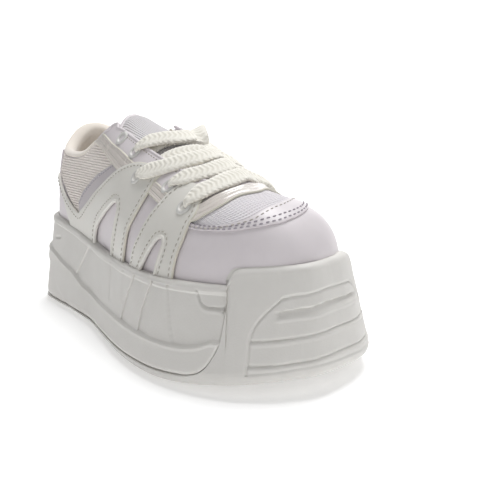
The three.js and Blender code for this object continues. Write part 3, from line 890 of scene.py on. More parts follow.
@dataclass(frozen=True)
class Studio:
    """Plain pale floor, soft lights, and the camera at the reference angle."""

    focal_px: float = 822.9
    frame_px: float = 500.0
    sensor: float = 36.0
    azimuth: float = 57.92
    elevation: float = 12.03
    roll: float = -2.03
    station: tuple[float, float, float] = (566.9, -216.8, 146.3)
    backdrop: float = 1.1

    def build(self) -> None:
        """Sets the camera, floor, world and lights."""
        self.place_camera()
        self.lay_floor()
        self.hang_lights()

    def place_camera(self) -> None:
        """Places the camera where the reference view was taken from."""
        turn, rise, roll = (math.radians(a) for a in (self.azimuth, self.elevation, self.roll))
        back = Vector((math.sin(turn) * math.cos(rise), -math.cos(turn) * math.cos(rise),
                       math.sin(rise)))
        right = Vector((math.cos(turn), math.sin(turn), 0.0))
        up = back.cross(right)
        rolled_right = math.cos(roll) * right + math.sin(roll) * up
        rolled_up = -math.sin(roll) * right + math.cos(roll) * up
        bpy.ops.object.camera_add()
        camera = bpy.context.object
        camera.name = "camera"
        spot = (Vector(self.station) + Vector((HEEL_X, 0, 0))) * MM
        camera.matrix_world = Matrix.Translation(spot) @ Matrix(
            (rolled_right, rolled_up, back)).transposed().to_4x4()
        camera.data.sensor_width = self.sensor
        camera.data.lens = self.focal_px / self.frame_px * self.sensor
        camera.data.clip_start = 0.01
        bpy.context.scene.camera = camera

    def lay_floor(self) -> None:
        """Lays a plain pale floor under the sole."""
        deselect()
        bpy.ops.mesh.primitive_plane_add(size=12)
        floor = bpy.context.object
        floor.name = "floor"
        material = bpy.data.materials.new("floor")
        material.use_nodes = True
        shader = material.node_tree.nodes["Principled BSDF"]
        shader.inputs["Base Color"].default_value = srgb(247, 247, 247)
        shader.inputs["Roughness"].default_value = 0.8
        shader.inputs["Specular IOR Level"].default_value = 0.1
        shader.inputs["Emission Color"].default_value = (1, 1, 1, 1)
        shader.inputs["Emission Strength"].default_value = 0.3
        floor.data.materials.append(material)
        turn = math.radians(self.azimuth)
        behind = (-self.backdrop * math.sin(turn), self.backdrop * math.cos(turn), 0.0)
        bpy.ops.mesh.primitive_plane_add(size=1.9, location=behind,
                                         rotation=(math.pi / 2, 0.0, turn))
        screen = bpy.context.object
        screen.name = "backdrop"
        screen.data.materials.append(material.copy())
        shader = screen.data.materials[0].node_tree.nodes["Principled BSDF"]
        shader.inputs["Emission Strength"].default_value = 0.55

    @staticmethod
    def hang_lights() -> None:
        """Hangs the soft lights and sets the world and the view."""
        scene = bpy.context.scene
        world = bpy.data.worlds.new("studio")
        world.use_nodes = True
        world.node_tree.nodes["Background"].inputs[0].default_value = (1, 1, 1, 1)
        world.node_tree.nodes["Background"].inputs[1].default_value = 0.24
        scene.world = world
        scene.view_settings.view_transform = "Standard"
        lights = (
            ("key", (-0.1, 0.35, 1.3), (0.02, 0.0, 0.05), 0.7, 14.5),
            ("front", (1.3, -0.2, 0.9), (0.0, 0.0, 0.05), 0.9, 2.4),
            ("left", (-0.5, -1.3, 0.9), (0.0, 0.0, 0.05), 0.9, 0.3),
        )
        for name, spot, target, size, power in lights:
            bpy.ops.object.light_add(type="AREA", location=spot)
            light = bpy.context.object
            light.name = name
            light.data.size = size
            light.data.energy = power
            direction = Vector(target) - Vector(spot)
            light.rotation_euler = direction.to_track_quat("-Z", "Y").to_euler()


# ------------------------------------------------------------------ sole


@dataclass(frozen=True)
class Rib:
    """A moulded step in the foam's wall, from the rim down to the band."""

    top: tuple[float, float]
    bottom: tuple[float, float]
    bow: float
    depth: float

    def line(self, z: Array) -> Array:
        """Station of the step's line at a height."""
        t = np.clip((self.top[1] - z) / (self.top[1] - self.bottom[1]), 0, 1)
        return self.top[0] + (self.bottom[0] - self.top[0]) * t + self.bow * np.sin(np.pi * t)

    def relief(self, x: Array, z: Array) -> Array:
        """Depth of the step: a fine groove, and the panel in front of it set back."""
        ahead = x - self.line(z)
        step = smoothstep(-0.5, 0.3, ahead) * (1 - smoothstep(1, 14, ahead))
        ends = smoothstep(-1.0, 1.0, z - self.bottom[1])
        return self.depth * ends * (step + 0.8 * np.exp(-((ahead / 0.5) ** 2)))


@dataclass(frozen=True)
class Midsole:
    """The tall moulded foam cup, with its swept band, ribs and rim."""

    form: SoleForm = SOLE
    columns: int = 800
    rows: int = 110
    band: float = 1.3
    lip: float = 0.5
    rim_round: float = 2.2
    front: float = 256.2
    band_line: Profile = Profile((
        (0, 41), (20, 38.5), (38, 34.7), (56, 30.3), (73, 26.7), (97.5, 21.6), (131, 20.4),
        (170, 20.8), (195.5, 20.6), (219, 20.8), (234, 21.5), (242.5, 23.1), (250, 26.1)))
    heel_line: Profile = Profile(((0, 30), (25, 28.5), (36.5, 25), (44, 16), (55, 10), (66, 5)))
    pocket: Profile = Profile((
        (241.2, 53), (241.8, 49), (242.8, 45.5), (244.6, 42.2), (248.2, 41.0), (258, 41.2)))
    ribs: tuple[Rib, ...] = (
        Rib((100.5, 53), (75.5, 26.4), 0.0, 0.6),
        Rib((188.2, 48), (171.5, 19), -2.0, 0.7),
        Rib((209.5, 49), (196, 20.3), -2.0, 0.7),
        Rib((145, 48.7), (146.5, 26), -1.0, 0.3),
        Rib((171, 48.7), (171.5, 30), -0.6, 0.25),
        Rib((222.5, 49), (228.4, 21.6), -0.6, 0.35))

    def relief(self, x: Array, z: Array) -> Array:
        """Height of the moulding over the plain wall.

        Args:
            x: Stations.
            z: Heights over the floor.

        Returns:
            Heights outwards, negative where the wall is cut in.
        """
        line = self.band_line(x)
        above = smoothstep(-0.7, 0.7, z - line)
        out = self.band * (1 - above)
        out += 0.3 * np.exp(-(((z - line + 0.9) / 0.8) ** 2))
        under_heel = smoothstep(0.8, -0.8, z - self.heel_line(x)) * smoothstep(68, 60, x)
        out -= 0.9 * under_heel
        rim = self.form.rim(x)
        for rib in self.ribs:
            out -= above * rib.relief(x, z)
            notch = smoothstep(-4.5, -1.5, z - rim)
            out -= 0.5 * notch * np.exp(-(((x - rib.line(z)) / 0.8) ** 2))
        floor = self.pocket(x)
        inside = smoothstep(-0.3, 0.5, z - floor) * smoothstep(240.6, 242.0, x)
        edge = np.exp(-(((z - floor) / 0.6) ** 2)) * smoothstep(241.2, 242.4, x)
        out -= 0.35 * inside * smoothstep(2.6, 3.4, rim - z) + 0.75 * edge
        out += 0.3 * np.exp(-(((z - floor + 1.3) / 0.7) ** 2)) * smoothstep(241.2, 242.4, x)
        dash = np.exp(-(((z - 45 - 0.12 * (x - 39)) / 0.7) ** 2))
        out -= 0.9 * dash * smoothstep(33, 35, x) * smoothstep(45, 43, x)
        return out + self.lip * smoothstep(-4.6, -3.4, z - rim)

    def place(self, u: Array, v: Array) -> Array:
        """Places the cup's grid: from under the foam, up the wall, over the rim, to the bed.

        Args:
            u: Shares round the grid.
            v: Shares across it.

        Returns:
            Points, one row each.
        """
        form = self.form
        row = v * self.rows
        side = np.where(u < 0.5, -1, 1)
        start = np.interp(1 - np.abs(2 * u - 1), *self.column_stations())
        rim, low = form.rim(start), form.parting(start) + 0.12
        line = np.maximum(self.band_line(start), low + 1.5)
        top = rim - self.rim_round
        z = low
        levels = (low, line - 1.2, line + 1.2, rim - 4.9, rim - 3.1, top)
        for k, (first, last) in enumerate(zip((6, 32, 44, 74, 82), (32, 44, 74, 82, 88))):
            z = z + (levels[k + 1] - levels[k]) * np.clip((row - first) / (last - first), 0, 1)
        x = self.lean_with_ribs(start, z)
        share = form.share_at(x, side)
        bed = form.bed(x)
        gap = 1.1 * np.exp(-np.maximum(z - low, 0) / 0.9)
        outer = form.wall(share, z, self.relief(x, z) - gap)
        low, rim = form.parting(x) + 0.12, form.rim(x)
        turn = np.clip((row - 88) / 8, 0, 1) * math.pi / 2
        rolled = form.wall(share, top, self.lip - self.rim_round * (1 - np.cos(turn)))
        rolled[:, 2] = top + self.rim_round * np.sin(turn)
        inside = form.cavity(share, rim + (bed - rim) * np.clip((row - 97) / 6, 0, 1))
        floor = form.cavity(share, bed)
        floor[:, 1] *= 1 - np.clip((row - 103) / 7, 0, 1)
        under = form.wall(share, low + 0.8, -3.0)
        under[:, 1] *= np.clip(row / 4, 0, 1)
        return np.select([row[:, None] < 5, row[:, None] < 88.5, row[:, None] < 96.5,
                          row[:, None] < 103.5], [under, outer, rolled, inside], floor)

    def column_stations(self) -> tuple[Array, Array]:
        """Stations of the columns on one side, crowded where a rib starts at the rim."""
        x = self.form.station(np.linspace(self.form.share_at(self.front), 0.5, 4000))
        weight = np.ones(x.shape)
        for rib in self.ribs:
            weight += (6 if rib.depth > 0.5 else 2) * np.exp(-(((x - rib.top[0]) / 1.3) ** 2))
        run = np.cumsum(weight)
        return (run - run[0]) / (run[-1] - run[0]), x

    def lean_with_ribs(self, x: Array, z: Array) -> Array:
        """Moves the stations of a row so that the columns follow the deep ribs."""
        deep = [rib for rib in self.ribs if rib.depth > 0.5]
        knots = [50.0, *(rib.top[0] for rib in deep), 238.0]
        moved = x
        for k, rib in enumerate(deep):
            hat = np.interp(x, knots, np.arange(len(knots)) == k + 1)
            moved = moved + hat * (rib.line(z) - rib.top[0])
        return moved

    def build(self, wardrobe: Wardrobe) -> None:
        obj = wrapped_grid("midsole_foam", self.columns, self.rows, self.place)
        closed(obj)
        cap_ends(obj)
        smooth(obj, 60)
        ride(obj, "sole_foam", wardrobe["foam"], "midsole")


@dataclass(frozen=True)
class Outsole:
    """The rubber underfoot with its lip, its grooves and the tall toe guard."""

    form: SoleForm = SOLE
    half_columns: int = 340
    guard_columns: int = 150
    centre: float = 9.0
    rows: int = 140
    lip: float = 0.9
    rim_round: float = 3.4
    groove_width: float = 3.2
    groove_depth: float = 2.0
    border: float = 9.0
    edge_in: Profile = Profile(((0, 4.2), (1.2, 1.7), (3, 0.5), (6, 0)))
    frame_line: Profile = Profile((
        (0, 48.8), (12, 48.2), (24, 47.2), (32.6, 45.2), (37, 42), (39.7, 37.5), (41.9, 33)))
    frame_side: Profile = Profile(((9, 45.2), (16.5, 44.4), (27.5, 43.5), (33, 41.9), (60, 10)))
    lines: tuple[Profile, ...] = (
        Profile(((4, 29.8), (18, 29), (31, 28), (44, 27.5))),
        Profile(((2, 18.8), (13, 18.2), (30, 17), (44, 16.5))))
    slot_top: Profile = Profile(((0, 43), (18, 41.8), (31, 40.4)))
    slot_low: Profile = Profile(((0, 38.6), (18, 38), (32, 37.2)))

    def guard_relief(self, t: Array, z: Array) -> Array:
        """Moulded frame, lines and slot on the toe guard.

        Args:
            t: Distance from the toe tip along the edge.
            z: Heights over the floor.

        Returns:
            Heights outwards, negative where cut in.
        """
        t = np.abs(t - self.centre)
        into = np.minimum(self.frame_line(t) - z, self.frame_side(z) - t)
        panel = smoothstep(-0.3, 0.6, into)
        out = -0.3 * panel - 0.65 * np.exp(-((into / 0.65) ** 2)) * smoothstep(8.5, 10, z)
        for line in self.lines:
            over = z - line(t)
            out -= 0.7 * np.exp(-((over / 0.6) ** 2)) * panel
            out += 0.25 * np.exp(-(((over + 1.4) / 0.9) ** 2)) * panel
        low, top = self.slot_low(t), self.slot_top(t)
        ends = smoothstep(33, 29, t)
        rise = np.clip((z - low) / (top - low), 0, 1)
        out -= 1.3 * ends * rise * smoothstep(0.35, -0.35, z - top) * smoothstep(0, 0.3, rise)
        return out + 0.3 * ends * np.exp(-(((z - low + 0.5) / 0.7) ** 2))

    def grooves(self, x: Array, y: Array, half: Array) -> Array:
        """Depth of the tread's cross grooves and of the shallow waist."""
        stations = [22 + 12 * k for k in range(6)] + [152 + 13 * k for k in range(9)]
        near = np.min(np.abs(x[:, None] - np.array(stations)), axis=1)
        across = smoothstep(self.border - 0.6, self.border + 0.6, half - np.abs(y))
        depth = self.groove_depth * smoothstep(self.groove_width / 2 + 0.5,
                                               self.groove_width / 2 - 0.5, near) * across
        waist = (np.abs(x - 117) < 19) & (np.abs(y - 2.5) < 26)
        return np.maximum(depth, 1.5 * waist)

    def place(self, u: Array, v: Array) -> Array:
        """Places the rubber's grid from the middle of the tread out, up, over and back in.

        Args:
            u: Shares round the grid.
            v: Shares across it.

        Returns:
            Points, one row each.
        """
        form = self.form
        step = 1 / (2 * self.half_columns)
        guard = self.guard_columns * step
        front = form.share_at(form.guard_back)
        share = np.interp(u, [0, guard, guard + step, 1 - guard - step, 1 - guard, 1],
                          [0, front, front + 2e-5, 1 - front - 2e-5, 1 - front, 1])
        x = form.station(share)
        is_guard = (share <= front + 1e-6) | (share >= 1 - front - 1e-6)
        side = np.where(share < 0.5, -1, 1)
        tread = form.tread(x)
        row = v * self.rows
        half = form.half_width(x, side) - self.edge_in(0)
        across = np.clip(row / 20, 0, 1)
        knee = np.clip((half - self.border) / np.maximum(half, 1), 0.05, 1)
        y = side * half * np.where(across < 0.7, across / 0.7 * knee,
                                   knee + (1 - knee) * (across - 0.7) / 0.3)
        first = form.wall(share, tread, -self.edge_in(0) + 0 * x)
        bottom = np.stack([first[:, 0], y, tread + self.grooves(first[:, 0], y, half)], -1)
        top = np.where(is_guard, form.guard_top(x) - self.rim_round, form.parting(x) - 0.5)
        climb = np.clip((row - 21) / 7, 0, 1) * 6
        lip = self.lip * (0.45 + 0.55 * smoothstep(0, 1, climb / 3))
        lip *= np.where(is_guard, 1 + 0.35 * smoothstep(280, 250, x), 1)
        edge = form.wall(share, tread + np.minimum(climb, top - tread - 0.3),
                         lip - self.edge_in(climb))
        z = np.minimum(tread + 6, top - 0.2)
        z = z + (top - z) * np.clip((row - 28) / 78, 0, 1)
        rear_edge = 0.7 * np.exp(-(x - form.guard_back) / 0.9) * smoothstep(20, 28, z)
        relief = np.where(is_guard, self.guard_relief(form.arc(share), z) - rear_edge, 0.0)
        wall = form.wall(share, z, lip + relief)
        radius = np.where(is_guard, self.rim_round, 0.5)
        turn = np.clip((row - 106) / 10, 0, 1) * math.pi / 2
        rolled = form.wall(share, top, lip - radius * (1 - np.cos(turn)))
        rolled[:, 2] = top + radius * np.sin(turn)
        down = np.clip((row - 117) / 10, 0, 1)
        crown = top + radius
        inner = form.cavity(share, crown + (form.bed(x) - crown) * down)
        tucked = form.wall(share, form.parting(x), -3.0)
        inside = np.where(is_guard[:, None], inner, tucked)
        floor = np.where(is_guard[:, None], form.cavity(share, form.bed(x)), tucked)
        floor[:, 1] *= 1 - np.clip((row - 127) / (self.rows - 127), 0, 1)
        return np.select([row[:, None] < 20.5, row[:, None] < 28.5, row[:, None] < 106.5,
                          row[:, None] < 116.5, row[:, None] < 127.5],
                         [bottom, edge, wall, rolled, inside], floor)

    def build(self, wardrobe: Wardrobe) -> None:
        obj = wrapped_grid("outsole_rubber", 2 * self.half_columns, self.rows, self.place)
        closed(obj)
        smooth(obj, 50)
        ride(obj, "sole_rubber", wardrobe["rubber"], "outsole")


def cap_ends(obj: Piece) -> None:
    """Fills the open ends that a wrapped grid leaves, and turns the faces out."""
    edit(obj,
         lambda: bpy.ops.mesh.select_all(action="DESELECT"),
         lambda: bpy.ops.mesh.select_non_manifold(),
         lambda: bpy.ops.mesh.fill(),
         lambda: bpy.ops.mesh.select_all(action="SELECT"),
         face_out)


# ------------------------------------------------------------------ upper: helpers


Path = Sequence[tuple[float, float]]


def scaled_uv(obj: Piece, along: float, across: float) -> None:
    """Stretches a piece's UV map, so that one unit of it is about a centimetre."""
    layer = obj.data.uv_layers.active.data
    uv = np.empty(len(layer) * 2)
    layer.foreach_get("uv", uv)
    uv = uv.reshape(-1, 2) * np.array([along, across])
    layer.foreach_set("uv", uv.ravel())


def planar_uv(obj: Piece, up: int) -> None:
    """Lays the UV map in cm as seen from the side (up is 2) or from above (up is 1)."""
    mesh = obj.data
    layer = mesh.uv_layers.active or mesh.uv_layers.new(name="UVMap")
    for loop, spot in zip(mesh.loops, layer.data):
        co = mesh.vertices[loop.vertex_index].co
        spot.uv = (co.x * 100, co[up] * 100)


def placed(rows: Array, side: Side) -> Array:
    """Rows of lateral (station, share) on a side: the medial ones sit a little further back.

    Args:
        rows: Stations and shares, the shares over 0.
        side: The side of the last that they go to.

    Returns:
        Stations and signed shares.
    """
    x, share = np.asarray(rows, dtype=float).T
    back = MEDIAL_BACK * smoothstep(150, 205, x) * smoothstep(0.0, 0.3, share)
    back *= smoothstep(0.95, 0.6, share) * (side is Side.MEDIAL)
    return np.column_stack([x - back, side.value * share])


def mirrored(rows: Path, side: Side) -> Array:
    """Rows of (station, share) on a side of the last."""
    return placed(np.array(rows), side)


def across_toe(rows: Path, medial: Path = ()) -> list[tuple[float, float]]:
    """A line that runs from the lateral side over the ridge to the medial side."""
    lateral = [(x, -share) for x, share in rows]
    mirror = [tuple(row) for row in mirrored(tuple(rows), Side.MEDIAL)[::-1] if row[1] > 0]
    return lateral + list(medial or mirror)


def flat(points: Path, step: float = 1.0) -> Array:
    """A smooth path of (station, share) with even steps in mm along it."""
    scaled = [(x, share * SHARE_MM) for x, share in points]
    return through(scaled, step) / FLAT


def lofted_tube(name: str, line: Array, up: Array, section: Callable[[Array, Array], tuple],
                columns: int, rows: int) -> Piece:
    """A closed tube along a line.

    Args:
        name: Name of the piece.
        line: Points of the centre line, in stations.
        up: Outward direction at each point.
        section: Rule from u along and the turn round to offsets across and up.
        columns: Cells along.
        rows: Cells round.

    Returns:
        The tube, with UVs of one unit for each centimetre.
    """
    run = run_along(line)
    ahead = np.gradient(line, run, axis=0)
    ahead /= np.linalg.norm(ahead, axis=1, keepdims=True)
    aside = np.cross(up, ahead)
    aside /= np.linalg.norm(aside, axis=1, keepdims=True)

    def place(u: Array, v: Array) -> Array:
        """Places the tube's grid."""
        at = u * run[-1]
        out = []
        for values in (line, aside, np.cross(ahead, aside)):
            out.append(np.stack([np.interp(at, run, column) for column in values.T], -1))
        across, high = section(u, 2 * math.pi * v)
        return out[0] + out[1] * across[:, None] + out[2] * high[:, None]

    obj = wrapped_grid(name, columns, rows, place)
    scaled_uv(obj, run[-1] / 10, 1.0)
    closed(obj)
    return obj


def round_ends(u: Array, length: float, radius: float) -> Array:
    """Factor that closes a tube's ends with a round nose."""
    reach = radius / length
    gap = np.clip(np.minimum(u, 1 - u) / reach, 0, 1)
    return np.sqrt(np.maximum(1 - (1 - gap) ** 2, 0))


def bead(name: str, points: Array, lift: float, radius: float, squash: float = 1.0,
         rows: int = 10) -> Piece:
    """A piping along a path of (station, share) on the last."""
    line = LAST.off(points[:, 0], points[:, 1], lift)
    up = LAST.normal(points[:, 0], points[:, 1])
    length = float(np.linalg.norm(np.diff(line, axis=0), axis=1).sum())

    def section(u: Array, turn: Array) -> tuple:
        """Round section, closed at both ends."""
        size = radius * round_ends(u, length, radius)
        return size * np.cos(turn), size * squash * np.sin(turn)

    obj = lofted_tube(name, line, up, section, max(len(points), 8), rows)
    smooth(obj, 70)
    return obj


def joined(name: str, pieces: list[Piece]) -> Piece:
    """Joins pieces into one mesh."""
    deselect()
    for piece in pieces:
        piece.select_set(True)
    bpy.context.view_layer.objects.active = pieces[0]
    if len(pieces) > 1:
        bpy.ops.object.join()
    pieces[0].name = name
    return pieces[0]


def pattern_sheet(name: str, edges: Sequence[Path], side: Side, lift: float, thickness: float,
                  round_edge: float = 0.35, cell: float = 3.0) -> Piece:
    """A sheet of any outline, cut flat and laid on the last.

    Args:
        name: Name of the piece.
        edges: Runs of (station, share) round the outline, with a corner between runs.
        side: Side of the last.
        lift: Height of its top face over the last.
        thickness: Thickness below the top face.
        round_edge: Radius of the rim's edge.
        cell: Size of the cells that let the sheet follow the last.

    Returns:
        The finished sheet; its rim has the second material.
    """
    outline = np.concatenate([flat(edge, 0.9)[:-1] for edge in edges])
    flat_mm = outline * FLAT
    deselect()
    bpy.ops.mesh.primitive_circle_add(vertices=len(outline), fill_type="NGON", radius=1)
    obj = bpy.context.object
    obj.name = name
    laid = np.column_stack([flat_mm, np.zeros(len(flat_mm))])
    obj.data.vertices.foreach_set("co", laid.ravel())
    obj.data.update()

    def slices(axis: int) -> list[Callable[[], object]]:
        """Cuts the sheet along one axis of the flat pattern."""
        low, high = flat_mm[:, axis].min(), flat_mm[:, axis].max()
        normal = tuple(float(k == axis) for k in range(3))
        steps = []
        for level in np.arange(low + cell / 2, high, cell):
            spot = tuple(float(level) if k == axis else 0.0 for k in range(3))
            steps.append(lambda: bpy.ops.mesh.select_all(action="SELECT"))
            steps.append(lambda spot=spot: bpy.ops.mesh.bisect(plane_co=spot, plane_no=normal))
        return steps

    edit(obj, *slices(0), *slices(1))
    co = points_of(obj)
    put_points(obj, LAST.off(co[:, 0], side.value * co[:, 1] / SHARE_MM,
                             np.full(len(co), lift)))
    outward(obj)
    for _ in range(2):
        obj.data.materials.append(None)
    apply(obj, "SOLIDIFY", thickness=thickness * MM, offset=-1.0, use_even_offset=False,
          material_offset_rim=1)
    apply(obj, "BEVEL", width=round_edge * MM, segments=2, limit_method="ANGLE",
          angle_limit=math.radians(55))
    smooth(obj, 40)
    return obj


def seam(name: str, paths: Sequence[Array], lift: float, length: float = 2.0,
         gap: float = 1.1, radius: float = 0.3) -> Piece:
    """Stitches along paths of (station, share): one modelled, the rest copied.

    Args:
        name: Name of the piece.
        paths: Paths that the stitches follow.
        lift: Height of the stitches over the last.
        length: Length of a stitch.
        gap: Distance between two stitches.
        radius: Half thickness of the thread.

    Returns:
        The row of stitches as one mesh.
    """
    deselect()
    bpy.ops.mesh.primitive_uv_sphere_add(segments=8, ring_count=6, radius=1)
    stitch = bpy.context.object
    stitch.name = name
    shape = points_of(stitch)
    shape = shape[:, [2, 0, 1]] * np.array([length / 2, radius, radius])
    shape[:, 2] -= 0.35 * radius * (shape[:, 0] / (length / 2)) ** 2
    polygons = [list(polygon.vertices) for polygon in stitch.data.polygons]
    points, faces = [], []
    for path in paths:
        line = LAST.off(path[:, 0], path[:, 1], lift)
        run = run_along(line)
        at = np.arange(length, run[-1] - length / 2, length + gap)
        if not len(at):
            continue
        centre = np.stack([np.interp(at, run, c) for c in line.T], -1)
        ahead = np.stack([np.interp(at + 0.5, run, c) for c in line.T], -1) - centre
        ahead /= np.linalg.norm(ahead, axis=1, keepdims=True)
        spot = np.stack([np.interp(at, run, c) for c in path.T], -1)
        up = LAST.normal(spot[:, 0], spot[:, 1])
        aside = np.cross(up, ahead)
        for k in range(len(at)):
            start = sum(len(block) for block in points)
            points.append(centre[k] + shape @ np.stack([ahead[k], aside[k], up[k]]))
            faces.extend([[start + i for i in polygon] for polygon in polygons])
    stitch.data.clear_geometry()
    stitch.data.from_pydata(np.concatenate(points).tolist(), [], faces)
    put_points(stitch, np.concatenate(points))
    edit(stitch, face_out)
    smooth(stitch, 80)
    return stitch


def inside_edge(path: Array, margin: float) -> Array:
    """A path moved to the left of its direction on the flat pattern."""
    scaled = path * FLAT
    ahead = np.gradient(scaled, axis=0)
    ahead /= np.linalg.norm(ahead, axis=1, keepdims=True)
    moved = scaled + margin * np.stack([-ahead[:, 1], ahead[:, 0]], -1)
    return moved / FLAT


# ------------------------------------------------------------------ upper: pieces


@dataclass(frozen=True)
class Shell:
    """The upper's lasted shell: pearl leather outside, soft lining inside."""

    columns: int = 260
    rows: int = 76
    leather: float = 1.3
    lining: float = 0.9
    heel_flat: float = 0.5
    turned_in: float = 0.06

    @staticmethod
    def top_share(x: Array) -> Array:
        """Share of the upper edge: collar, then throat, then the ridge over the toe."""
        stations = np.concatenate([np.linspace(LAST.heel, 120, 80), np.linspace(121, 214.4, 60)])
        collar = LAST.collar_share(stations, 0.5)
        throat = LAST.throat_share(stations)
        edge = np.where(stations < 108, np.maximum(collar, throat), throat)
        return np.where(x > 214.5, 0.0, np.interp(x, stations, edge))

    def half_sheet(self, side: Side, name: str, lift: float, margin: float) -> Piece:
        """One side of the shell, from the foot bed up to its edge.

        Args:
            side: Side of the last.
            name: Name of the sheet.
            lift: Height over the last.
            margin: How far in share the sheet stops short of the edge.

        Returns:
            The open sheet.
        """
        def place(u: Array, v: Array) -> Array:
            """Places the sheet's grid."""
            x = LAST.heel + (LAST.toe - LAST.heel) * (1 - np.cos(math.pi * u)) / 2
            edge = self.top_share(x)
            if side is Side.MEDIAL:
                edge = edge + 0.1 * np.exp(-(((x - 104) / 8) ** 2))
            edge = np.where(edge > 0, edge + margin, 0.0)
            rise = np.clip((v - self.turned_in) / (1 - self.turned_in), 0, 1)
            share = side.value * (1 + (edge - 1) * rise)
            back = x < LAST.heel + self.heel_flat
            pts = LAST.off(np.maximum(x, LAST.heel + self.heel_flat), share,
                           np.full(x.shape, lift))
            pts[:, 0] -= np.where(back, self.heel_flat * 0.6, 0.0)
            pts[:, 1] = np.where((u < 1e-6) | (u > 1 - 1e-6), 0.0, pts[:, 1])
            over = np.abs(share) < 1e-6
            pts[:, 1] = np.where(over, 0.0, pts[:, 1])
            low = SOLE.bed(pts[:, 0]) + 0.5
            sunk = low + (pts[:, 2] - low) * v / self.turned_in
            pts[:, 2] = np.where(v < self.turned_in, sunk, pts[:, 2])
            return pts

        return wrapped_grid(name, self.columns, self.rows, place)

    def build(self, wardrobe: Wardrobe) -> None:
        halves = [self.half_sheet(side, "half", 0.0, 0.0) for side in Side]
        leather = joined("upper_leather", halves)
        edit(leather, lambda: weld(1.5e-4), face_out)
        outward(leather)
        finish_sheet(leather, self.leather, 0.0)
        ride(leather, "upper_leather", wardrobe["pearl_leather"], "upper")
        lift = -self.leather - 0.1
        halves = [self.half_sheet(side, "half", lift, 0.02) for side in Side]
        lining = joined("lining", halves)
        edit(lining, lambda: weld(1.5e-4), face_out)
        outward(lining)
        finish_sheet(lining, self.lining, 0.0)
        ride(lining, "lining", wardrobe["lining"])


@dataclass(frozen=True)
class HeelTab:
    """The leather piece that closes the back, from the sole up to the collar."""

    reach: float = 11.0
    lift: float = 1.6
    thickness: float = 1.2
    low: float = 0.97
    drop: float = 15.0
    lean: Profile = Profile(((60, 0), (75, 0.1), (85, 1.1), (100, 4.3), (110, 7.0)))

    def build(self, wardrobe: Wardrobe) -> None:
        stations = LAST.heel + 0.1 + 2 * self.reach * np.linspace(0, 1, 60) ** 2
        shares = np.linspace(self.low, 0.02, 90)
        walls = [LAST.point(np.full(shares.shape, x), shares) for x in stations]
        crests = np.maximum.accumulate([wall[:, 2].max() for wall in walls])
        top = LAST.collar_share(np.array([self.reach]), 0.0)
        high = LAST.point(np.array([self.reach]), top)[0, 2] - self.drop
        base = float(SOLE.bed(np.array([6.0]))[0]) + 1.0

        def place(u: Array, v: Array) -> Array:
            """Places the tab's grid: u across the back, v upwards."""
            across = 2 * u - 1
            z = base + (high - base) * v
            x = np.interp(z, crests, stations) + self.reach * np.abs(across) ** 2
            wide = np.array([np.interp(z, wall[:, 2], wall[:, 1], right=0.0) for wall in walls])
            spot = np.interp(x, stations, np.arange(len(stations)))
            left = np.minimum(spot.astype(int), len(stations) - 2)
            row = np.arange(len(z))
            near, far = wide[left, row], wide[left + 1, row]
            y = (near + (far - near) * (spot - left)) * np.clip(np.abs(across) / 0.08, 0, 1)
            turn = np.minimum(y / 26.0, 1.0) * math.pi / 2
            slope = np.stack([-np.cos(turn), np.sign(across) * np.sin(turn), 0.0 * z], -1)
            x = x + self.lean(z) * (1 - across**2)
            return np.stack([x, np.sign(across) * y, z], -1) + slope * self.lift

        obj = wrapped_grid("heel_tab", 92, 60, place)
        outward(obj)
        finish_sheet(obj, self.thickness, 0.3)
        ride(obj, "upper_leather", wardrobe["pearl_leather"])


@dataclass(frozen=True)
class CollarPad:
    """The padded roll round the mouth, over the edge and down the inside."""

    front: float = 96.0
    section: Rows = (
        (-0.2, 0.7), (0.4, 0.3), (0.7, -0.6), (0.3, -1.8), (-1.1, -3.0), (-3.7, -3.2),
        (-6.2, -1.6), (-7.7, 2.4), (-7.8, 9), (-6.8, 18), (-5.2, 27), (-3.2, 34), (-2.4, 33),
        (-2.6, 22), (-2.6, 9), (-2.2, 3.4), (-1.4, 1.2), (-0.7, 0.8))

    def build(self, wardrobe: Wardrobe) -> None:
        back = LAST.heel + 0.6
        walk = np.linspace(-1, 1, 241)
        stations = back + (self.front - back) * np.abs(walk) ** 1.5
        side = np.where(walk < 0, -1, 1)
        rims = LAST.collar_share(stations)
        lengths = np.array([LAST.girth(x)[0][-1] for x in stations])
        loop = through(list(self.section + self.section[:1]), 0.8)
        turn = np.linspace(0, 1, len(loop))
        levels = np.linspace(-4, 35, 40)
        grid = []
        for level in levels:
            share = side * np.clip(rims + level / lengths, 0.02, 0.98)
            rows = [LAST.point(stations, share), LAST.normal(stations, share)]
            for values in rows:
                for _ in range(14):
                    values[1:-1] = (values[:-2] + 2 * values[1:-1] + values[2:]) / 4
            grid.append(rows)
        spots = np.array([rows[0] for rows in grid])
        facing = np.array([rows[1] for rows in grid])

        def place(u: Array, v: Array) -> Array:
            """Places the pad's grid."""
            n, b = (np.interp(v, turn, column) for column in loop.T)
            size = round_ends(u, 260.0, 9.0)
            n, b = -1.6 + (n + 1.6) * size, b * size
            column = u * (len(stations) - 1)
            row = np.clip(b + 4, 0, 38.999)
            left = np.minimum(column.astype(int), len(stations) - 2)
            low = row.astype(int)
            out = []
            for values in (spots, facing):
                along = (column - left)[:, None]
                lower = values[low, left] * (1 - along) + values[low, left + 1] * along
                upper = values[low + 1, left] * (1 - along) + values[low + 1, left + 1] * along
                out.append(lower + (upper - lower) * (row - low)[:, None])
            return out[0] + out[1] * n[:, None]

        obj = wrapped_grid("collar_pad", 220, 84, place)
        closed(obj)
        smooth(obj, 80)
        ride(obj, "lining", wardrobe["lining"])


